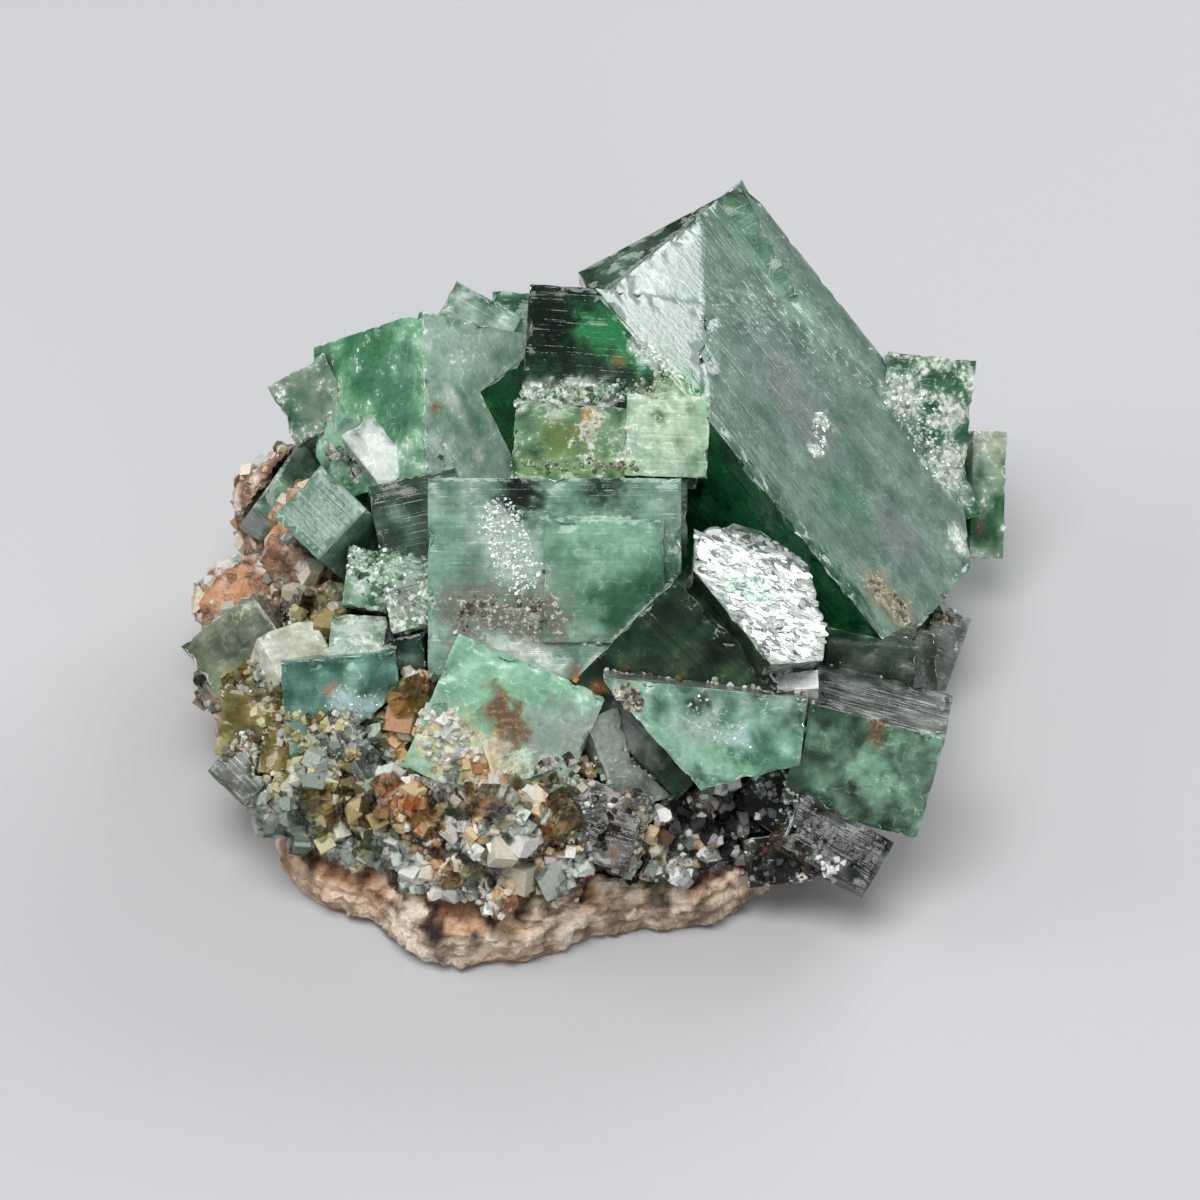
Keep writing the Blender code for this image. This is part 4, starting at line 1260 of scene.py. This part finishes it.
cubeGrain = cutCube([((0.36, 0.36, 0.36), (1, 1, 1))])
brokenGrain = cutCube([((0.3, 0.3, 0.3), (1, 0.8, 1.3)), ((-0.32, 0.32, -0.1), (-1, 1.2, -0.3))])
plateGrain = cutCube([
    ((0.38, 0.30, 0), (1, 0.7, 0)), ((-0.32, -0.36, 0), (-0.8, -1, 0)), ((-0.36, 0.4, 0), (-1, 0.5, 0)),
], 0.12)
crumbs = [lump(3), lump(8)]


class Skin:  # the triangles of some meshes, to scatter things on
    def __init__(self, *items):
        found = []
        for item in items:
            mesh = item.data
            mesh.calc_loop_triangles()
            corners = numpy.empty(len(mesh.loop_triangles) * 3, dtype=numpy.int32)
            mesh.loop_triangles.foreach_get("vertices", corners)
            found.append(pointsOf(mesh)[corners.reshape(-1, 3)])
        self.corners = numpy.concatenate(found)
        first, second, third = (self.corners[:, corner] for corner in range(3))
        across = numpy.cross(second - first, third - first)
        length = numpy.linalg.norm(across, axis=1)
        self.area = length / 2
        self.normal = across / numpy.maximum(length, 1e-12)[:, None]
        self.middle = self.corners.mean(axis=1)

    def scatter(self, chance, count, weight):
        share = self.area * weight
        found = chance.choice(len(share), size=count, p=share / share.sum())
        parts = chance.dirichlet((1, 1, 1), size=count)
        return (self.corners[found] * parts[:, :, None]).sum(axis=1), self.normal[found]


def anyTurns(chance, count):  # turned every way
    a, b, c, d = (chance.normal(size=(count, 4)).T)
    size = numpy.sqrt(a * a + b * b + c * c + d * d)
    a, b, c, d = a / size, b / size, c / size, d / size
    return numpy.stack([
        numpy.stack([1 - 2 * (c * c + d * d), 2 * (b * c - a * d), 2 * (b * d + a * c)], 1),
        numpy.stack([2 * (b * c + a * d), 1 - 2 * (b * b + d * d), 2 * (c * d - a * b)], 1),
        numpy.stack([2 * (b * d - a * c), 2 * (c * d + a * b), 1 - 2 * (b * b + c * c)], 1),
    ], 1)


def layTurns(chance, normals, tilt, along=None, loose=0.35):  # lying on a face, each tilted a little
    up = normals + chance.normal(size=normals.shape) * math.sin(math.radians(tilt))
    up /= numpy.linalg.norm(up, axis=1)[:, None]
    way = chance.normal(size=normals.shape) * (1.0 if along is None else loose)
    side = numpy.cross(up, way if along is None else way + numpy.array(along))
    side /= numpy.linalg.norm(side, axis=1)[:, None]
    return numpy.stack([side, numpy.cross(up, side), up], 2)


def joinGrains(name, groups, material):  # groups of shape, places, turns, sizes and colours
    points, faces, colours, before = [], [], [], 0
    for shape, places, turns, sizes, tints in groups:
        if not len(places):
            continue
        local = shape.points[None, :, :] * sizes[:, None, :]
        placed = places[:, None, :] + numpy.einsum("nij,nkj->nki", turns, local)
        starts = before + numpy.arange(len(places)) * len(shape.points)
        points.append(placed.reshape(-1, 3))
        faces.append((shape.faces[None, :, :] + starts[:, None, None]).reshape(-1, 3))
        colours.append(numpy.repeat(tints, len(shape.faces) * 3, axis=0))
        before += len(places) * len(shape.points)
    low, high = (numpy.array(corner) / mm for corner in cadBox)
    spare = 0.001  # mm left inside the box
    points = numpy.clip(numpy.concatenate(points), low + spare, high - spare) * mm
    mesh = bpy.data.meshes.new(name)
    mesh.from_pydata(points.tolist(), [], numpy.concatenate(faces).tolist())
    mesh.attributes.new(name="paint", type="FLOAT_COLOR", domain="CORNER")
    colours = numpy.concatenate(colours)
    colours = numpy.concatenate([colours, numpy.ones((len(colours), 1))], 1)
    mesh.attributes["paint"].data.foreach_set("color", colours.astype(numpy.float32).ravel())
    item = bpy.data.objects.new(name, mesh)
    bpy.context.scene.collection.objects.link(item)
    mesh.materials.append(material)
    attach(item, "root")
    print("made", name, len(mesh.polygons), "faces")
    return item


grainFinish = dict(
    noise=(3.5, 2, 0.6),
    light=(0.65, 0.7),  # least, and what the noise adds
    bump=(0.4, 0.0002),
)


def grainMaterial(name, roughness, metal=0.0, clear=0.0):
    kit = MaterialKit(name)
    grain = kit.cloudy(kit.place(), *grainFinish["noise"])
    darkest, byGrain = grainFinish["light"]
    return kit.finish(kit.glossy({
        "Base Color": kit.lit(kit.painted("paint"), darkest + grain * byGrain), "Roughness": roughness,
        "Metallic": metal, "IOR": crystalFinish["ior"], "Transmission Weight": clear,
        "Normal": kit.bumped(grain, *grainFinish["bump"]),
    }))


wholeSkin = Skin(*dressed.values())
built = bpy.context.evaluated_depsgraph_get()
crystalTrees = [BVHTree.FromObject(item, built) for item in dressed.values()]


skinGap = 0.05  # mm over a surface, where a test of what is above it starts
openSide = Vector((0.05, -0.61, 0.79))  # towards the front and up


def outside(point, normal, reach):  # clear of every crystal, with room above it
    up = Vector(normal)
    spot = Vector(point) * mm + up * skinGap * mm
    for tree in crystalTrees:
        if tree.ray_cast(spot, up, reach * mm)[0] is not None:
            return False
        facing = tree.ray_cast(spot, openSide)[1]
        if facing is not None and facing.dot(openSide) > 0:
            return False
    return True


drawing = dict(
    middle=0.54,  # of a palette, 0 to 1
    patches=0.9,
    mixed=0.7,  # how far neighbouring grains differ
    most=0.999,
    light=(0.8, 1.15),
)


def tinted(chance, count, palette, spots=None):  # colours drawn from a palette, in patches over the spots
    drawn = chance.uniform(size=count)
    if spots is not None:
        patches = drawing["middle"] + field(spots, "grainPatches") * drawing["patches"]
        drawn = patches + (drawn - 0.5) * drawing["mixed"]
        drawn = numpy.clip(drawn, 0, drawing["most"])
    colours = numpy.array([hue(*colour)[:3] for colour in palette])
    return colours[(drawn * len(palette)).astype(int)] * chance.uniform(*drawing["light"], size=(count, 1))


palettes = dict(  # grains keep to neighbouring colours of a palette, so its order counts
    creamy=[
        (172, 128, 90), (200, 160, 116), (206, 184, 144), (214, 206, 186), (220, 218, 210), (200, 202, 194),
        (166, 172, 164), (188, 198, 186),
    ],
    olive=[(112, 98, 62), (162, 148, 98), (188, 180, 138), (204, 202, 186), (172, 180, 168), (142, 154, 142)],
    smoky=[(84, 58, 40), (36, 34, 32), (58, 62, 60), (104, 108, 104), (148, 150, 146), (226, 228, 222)],
    back=[(150, 152, 134), (120, 136, 116), (188, 180, 152), (172, 142, 104), (96, 92, 78)],
    earth=[(142, 138, 122), (114, 106, 88), (178, 174, 156), (86, 82, 72), (202, 198, 184), (140, 156, 136)],
    mint=[(190, 214, 192), (134, 164, 138), (86, 116, 92), (210, 222, 208), (156, 176, 146)],
    white=[(226, 232, 226), (190, 204, 192), (150, 170, 154), (240, 242, 238)],
)
druse = dict(
    seed=11,
    count=9500,
    glassy=3000,  # how many of them are clear
    room=0.7,  # mm of free space that a grain needs
    bed=4.6,  # mm, the height on the rock where the grains start
    bedFade=0.8,  # per mm
    steepest=-0.6,  # undersides that face lower have none
    crustOpen=((0, -0.62, 0.78), -0.1),  # crusts lie on faces turned to the front or up
    brightest=0.95,
    regions=["creamy", "olive", "smoky", "back", "creamy"],
    crowding=[1.0, 1.0, 1.0, 0.45, 0.10],
    sizes=(0.34, 0.75, 0.55),  # mm: smallest, what is added to it at most, and how rare large ones are
    uneven=(0.8, 1.1),
    large=(0.02, 2.4),  # share and how much larger, at the front and left
    middling=(0.09, 1.6),
    crustSizes=(0.35, 0.65, 0.6),
    crustGlassy=0.12,
    glassySize=1.15,
    glassyLight=2.2,
)
crusts = [  # line, reach, how many, palette and largest size in mm
    ([(-12.6, -22.5, 14.6), (-10.5, -25.5, 12.2), (-7.0, -26.4, 10.6)], 1.9, 210, "creamy", 0.85),
    ([(-4.5, -25.6, 12.2), (0.0, -24.6, 12.0)], 1.4, 80, "earth", 0.7),
    ([(-0.4, -28.1, 10.2), (-3.5, -28.6, 9.0)], 2.0, 120, "smoky", 0.6),
    ([(2.6, -26.2, 12.4), (3.4, -27.6, 9.0), (1.0, -29.4, 6.8)], 1.5, 220, "earth", 0.7),
    ([(-6.0, -28.5, 10.5), (-3.6, -30.0, 7.6)], 2.6, 320, "creamy", 0.9),
    ([(1.5, -24.0, 18.5), (1.0, -23.6, 17.0)], 1.2, 110, "earth", 0.45),
    ([(13.0, -25.5, 9.5), (16.0, -28.8, 7.0), (13.2, -28.3, 5.4)], 2.2, 260, "smoky", 0.6),
    ([(-16.7, -10.6, 20.1), (-15.1, -13.2, 19.2)], 2.2, 80, "mint", 0.5),
    ([(-18.6, -9.6, 20.6), (-17.2, -11.4, 18.6)], 1.6, 130, "mint", 0.5),
    ([(-10.4, -14.5, 19.7), (-4.6, -15.0, 19.6)], 1.2, 140, "earth", 0.4),
    ([(-25.5, -17.0, 12.0), (-22.0, -19.5, 11.0), (-17.5, -20.5, 12.4)], 2.0, 260, "olive", 0.8),
    ([(-28.8, -13.4, 11.6), (-24.0, -13.6, 14.0)], 1.4, 120, "olive", 0.7),
    ([(23.2, -7.8, 14.5), (21.6, -7.3, 16.1)], 1.0, 70, "earth", 0.4),
    ([(-6.6, -1.9, 30.8), (-0.4, -1.6, 31.2), (4.6, -1.4, 32.0)], 0.7, 210, "mint", 0.42),
    ([(-22.5, 2.0, 22.5), (-20.5, 0.5, 22.0)], 1.2, 90, "earth", 0.5),
    ([(24.2, 15.8, 17.9), (27.5, 11.4, 14.0)], 1.2, 110, "white", 0.4),
    ([(-12.5, -2.6, 25.2), (-5.0, -5.8, 27.2), (2.0, -6.0, 27.2)], 0.5, 130, "earth", 0.35),
]


def regionOf(points):  # front, left, smoky right, back and bare rock, by place in mm
    x, y, z = points.T
    region = numpy.full(len(points), 3)
    region[(y < -13) & (x < 4)] = 0
    region[(x < -17) & (y < -9)] = 1
    region[(y < -12) & (x >= 4)] = 2
    region[(x < -22) & (y > -8) & (y < 14)] = 4
    return region


def bedGrains(chance):  # the grains that grow on the rock: places, colours, sizes, turns and if glassy
    skin = Skin(rock)
    weight = numpy.clip((skin.middle[:, 2] - druse["bed"]) * druse["bedFade"], 0, 1)
    weight *= numpy.array(druse["crowding"])[regionOf(skin.middle)]
    weight *= skin.normal[:, 2] > druse["steepest"]
    places, normals = skin.scatter(chance, druse["count"], weight)
    free = [outside(place, normal, druse["room"]) for place, normal in zip(places, normals)]
    places = places[numpy.array(free)]
    count = len(places)
    region = regionOf(places)
    tints = numpy.zeros((count, 3))
    for number, palette in enumerate(druse["regions"]):
        here = region == number
        tints[here] = tinted(chance, here.sum(), palettes[palette], places[here])
    smallest, added, rare = druse["sizes"]
    sizes = added * chance.power(rare, size=(count, 1))
    sizes = smallest + sizes * chance.uniform(*druse["uneven"], size=(count, 3))
    grade = chance.uniform(size=(count, 1))
    largeShare, larger = druse["large"]
    middleShare, middle = druse["middling"]
    large = (grade < largeShare) & (region[:, None] < 2)
    sizes *= numpy.where(large, larger, numpy.where(grade < middleShare, middle, 1.0))
    turns = anyTurns(chance, count)
    return places, tints, sizes, turns, chance.uniform(size=count) < druse["glassy"] / druse["count"]


def crustGrains(chance, line, reach, count, palette, largest):  # the same for a crust on the crystals
    towards, least = druse["crustOpen"]
    near = (nearLine(wholeSkin.middle, line) < reach) & (wholeSkin.normal @ numpy.array(towards) > least)
    places = wholeSkin.scatter(chance, count, near * 1.0)[0]
    tints = tinted(chance, count, palettes[palette], places)
    smallest, added, rare = druse["crustSizes"]
    sizes = largest * (smallest + added * chance.power(rare, size=(count, 1)))
    sizes = sizes * chance.uniform(*druse["uneven"], size=(count, 3))
    turns = anyTurns(chance, count)
    return places, tints, sizes, turns, chance.uniform(size=count) < druse["crustGlassy"]


def makeDruse():
    chance = numpy.random.default_rng(druse["seed"])
    grains = [bedGrains(chance)] + [crustGrains(chance, *crust) for crust in crusts]
    places, tints, sizes, turns, glassy = (numpy.concatenate(column) for column in zip(*grains))
    shapes = [cubeGrain, brokenGrain, *crumbs]
    kinds = chance.integers(len(shapes), size=len(places))

    def chosen(which, lighter):
        groups = []
        for number, shape in enumerate(shapes):
            here = which & (kinds == number)
            colours = numpy.clip(tints[here] * lighter, 0, druse["brightest"])
            groups.append((shape, places[here], turns[here], sizes[here], colours))
        return groups

    joinGrains("druseGrains", chosen(~glassy, 1.0), grainMaterial("druseGrains", roughness=0.32))
    kinds[glassy] = kinds[glassy] % 2  # the glassy ones are all cubes
    sizes[glassy] = sizes[glassy] * druse["glassySize"]
    clearGrain = grainMaterial("glassyGrains", roughness=0.05, clear=1.0)
    joinGrains("glassyGrains", chosen(glassy, druse["glassyLight"]), clearGrain)


makeDruse()


debris = dict(
    seed=5,
    tries=4000,  # on each group of crystals
    reach=0.62,  # mm to the next group
    patches=(0.6, -0.05),  # scale and lowest value of the noise where crumbs lie
    creasePatches=(0.5, 0.1),
    creaseShare=0.12,
    highest=24.0,  # mm, the clean crystals above have none
    mainBack=4.0,
    creaseBack=-4.0,
    heart=(0, 4, 4),  # mm, away from here is outwards
    clearance=0.1,  # mm
    farthest=50,
    sizes=(0.14, 0.4, 0.6),
    uneven=(0.8, 1.2),
    rust=([(-2.3, -17.4, 15.9), (-0.4, -20.4, 16.6)], 1.5),  # line and reach
    rusty=[(150, 84, 42), (176, 112, 60), (108, 62, 36), (200, 168, 116)],
    plain=[(170, 168, 146), (110, 116, 98), (196, 184, 150), (96, 72, 50), (70, 84, 70), (206, 210, 200)],
)


def inJoint(place, normal, others):  # near another group of crystals, and in the open
    spot = Vector(place) * mm
    gap = min(tree.find_nearest(spot)[3] for tree in others) / mm
    scale, lowest = debris["patches"]
    if gap >= debris["reach"] or noise.noise(Vector(place) * scale) <= lowest:
        return False
    away = (spot - Vector(debris["heart"]) * mm).normalized()
    start = spot + Vector(normal) * skinGap * mm + away * debris["clearance"] * mm
    return not any(tree.ray_cast(start, away, debris["farthest"] * mm)[0] for tree in crystalTrees)


def makeDebris():  # crumbs in the joints between the groups of crystals and in the creases
    chance = numpy.random.default_rng(debris["seed"])
    found = []
    for number, (name, item) in enumerate(dressed.items()):
        skin = Skin(item)
        weight = numpy.ones(len(skin.area))
        if name == "mainCrystals":
            weight *= (skin.middle[:, 1] < debris["mainBack"]) & (skin.middle[:, 2] < debris["highest"])
        places, normals = skin.scatter(chance, debris["tries"], weight)
        others = crystalTrees[:number] + crystalTrees[number + 1:]
        found.extend(place for place, normal in zip(places, normals) if inJoint(place, normal, others))
    scale, lowest = debris["creasePatches"]
    for spot in creases:
        place = numpy.array(spot) / mm
        kept = noise.noise(Vector(place) * scale) > lowest and chance.uniform() < debris["creaseShare"]
        if kept and place[1] < debris["creaseBack"] and place[2] < debris["highest"]:
            found.append(place)
    places = numpy.array(found)
    count = len(places)
    tints = tinted(chance, count, debris["plain"])
    line, reach = debris["rust"]
    orange = nearLine(places, line) < reach
    tints[orange] = tinted(chance, orange.sum(), debris["rusty"])
    smallest, added, rare = debris["sizes"]
    sizes = smallest + added * chance.power(rare, size=(count, 1))
    sizes = sizes * chance.uniform(*debris["uneven"], size=(count, 3))
    turns = anyTurns(chance, count)
    kinds = chance.integers(3, size=count)
    groups = []
    for number, shape in enumerate((brokenGrain, *crumbs)):
        here = kinds == number
        groups.append((shape, places[here], turns[here], sizes[here], tints[here]))
    joinGrains("jointCrumbs", groups, grainMaterial("jointCrumbs", roughness=0.45))


makeDebris()


flakes = dict(
    seed=29,
    silver=620,
    tilt=6.5,
    silverNear=0.5,  # mm off the face at most
    silverFacing=0.85,
    silverSizes=(0.35, 1.3, 0.6),
    silverShape=(1.0, 0.5, 1.0),
    silverThick=(0.5, 1.1),
    silverEdge=0.55,  # mm kept clear along the outline of the face
    silverOutline=[
        (-5.35, 1.15), (-4.25, 6.55), (-0.45, 8.85), (5.55, 8.85), (5.55, -1.5), (4.35, -6.15),
        (-0.55, -8.35),
    ],
    # painted reflection: the cleavage plates are pale grey-white for the light they mirror
    silverTones=[
        (240, 242, 241), (226, 230, 228), (196, 202, 198), (160, 166, 163), (184, 204, 192), (120, 126, 123),
    ],
    greenMiddle=((-0.5, 0.5), 1.9),  # on the silvery face, and its reach
    greenTones=[(176, 200, 186), (158, 186, 170)],
    bands=[  # line, reach, count and size in mm
        ([(-8.1, -10.2, 25.2), (-6.6, -12.6, 22.1)], 1.7, 420, 0.25),
        ([(2.2, 0.6, 34.4), (5.2, -0.4, 32.2)], 0.8, 130, 0.3),
        ([(24.2, 15.8, 17.9), (27.5, 11.4, 14.0)], 2.2, 200, 0.3),
        ([(17.4, 6.6, 22.5), (16.7, 2.6, 22.5)], 0.8, 70, 0.3),
        ([(-20.4, -18.6, 14.0), (-18.6, -18.8, 13.6)], 1.3, 70, 0.2),
        ([(-16.7, -10.6, 20.1), (-18.6, -9.6, 20.6)], 1.8, 120, 0.26),
        ([(10.2, -25.4, 15.8), (7.1, -24.3, 17.8)], 1.2, 60, 0.2),
    ],
    bandTilt=10,
    bandUneven=(0.5, 1.3),
    bandShape=(1.0, 0.8, 1.6),
    brightest=0.9,
    # partly painted glints: the pale tints of the sparkling bits
    bandTones=[(206, 216, 208), (184, 200, 188), (160, 180, 166), (226, 232, 226)],
)


def onSilverFace(skin, silver):  # the triangles of the silvery face, inside its outline
    spots = silver.locals(skin.middle)
    facing = skin.normal @ numpy.array(silver.out) > flakes["silverFacing"]
    onFace = (numpy.abs(spots[:, 2]) < flakes["silverNear"]) & facing
    outline = flakes["silverOutline"]
    for (startX, startY), (endX, endY) in zip(outline, outline[1:] + outline[:1]):
        wayX, wayY = endX - startX, endY - startY
        inward = (spots[:, 0] - startX) * wayY - (spots[:, 1] - startY) * wayX
        onFace &= inward / math.hypot(wayX, wayY) > flakes["silverEdge"]
    return onFace


def silverPlates(chance):  # cleavage steps on the silvery crystal, their pale tints a painted reflection
    silver = grown["silver"]
    skin = Skin(dressed["mainCrystals"])
    places, normals = skin.scatter(chance, flakes["silver"], onSilverFace(skin, silver) * 1.0)
    count = len(places)
    turns = layTurns(chance, normals, flakes["tilt"], silver.high)
    smallest, added, rare = flakes["silverSizes"]
    sizes = (smallest + added * chance.power(rare, size=(count, 1))) * numpy.array(flakes["silverShape"])
    sizes[:, 2] = chance.uniform(*flakes["silverThick"], size=count)
    tints = tinted(chance, count, flakes["silverTones"])
    spot, reach = flakes["greenMiddle"]
    middle = numpy.linalg.norm(silver.locals(places)[:, :2] - numpy.array(spot), axis=1) < reach
    tints[middle] = tinted(chance, middle.sum(), flakes["greenTones"])
    return plateGrain, places, turns, sizes, numpy.clip(tints, 0, flakes["brightest"])


def bandPlates(chance, line, reach, count, size):  # sparkling bits elsewhere, their pale tints partly their own white and partly painted glints
    near = nearLine(wholeSkin.middle, line) < reach
    places, normals = wholeSkin.scatter(chance, count, near * 1.0)
    sizes = size * chance.uniform(*flakes["bandUneven"], size=(count, 3)) * numpy.array(flakes["bandShape"])
    tints = numpy.clip(tinted(chance, count, flakes["bandTones"]), 0, flakes["brightest"])
    return plateGrain, places, layTurns(chance, normals, flakes["bandTilt"]), sizes, tints


def makeFlakes():
    chance = numpy.random.default_rng(flakes["seed"])
    groups = [silverPlates(chance)] + [bandPlates(chance, *band) for band in flakes["bands"]]
    gleaming = grainMaterial("cleavageGlintFlakes", roughness=0.16, metal=0.3)
    joinGrains("cleavageGlintFlakes", groups, gleaming)


makeFlakes()
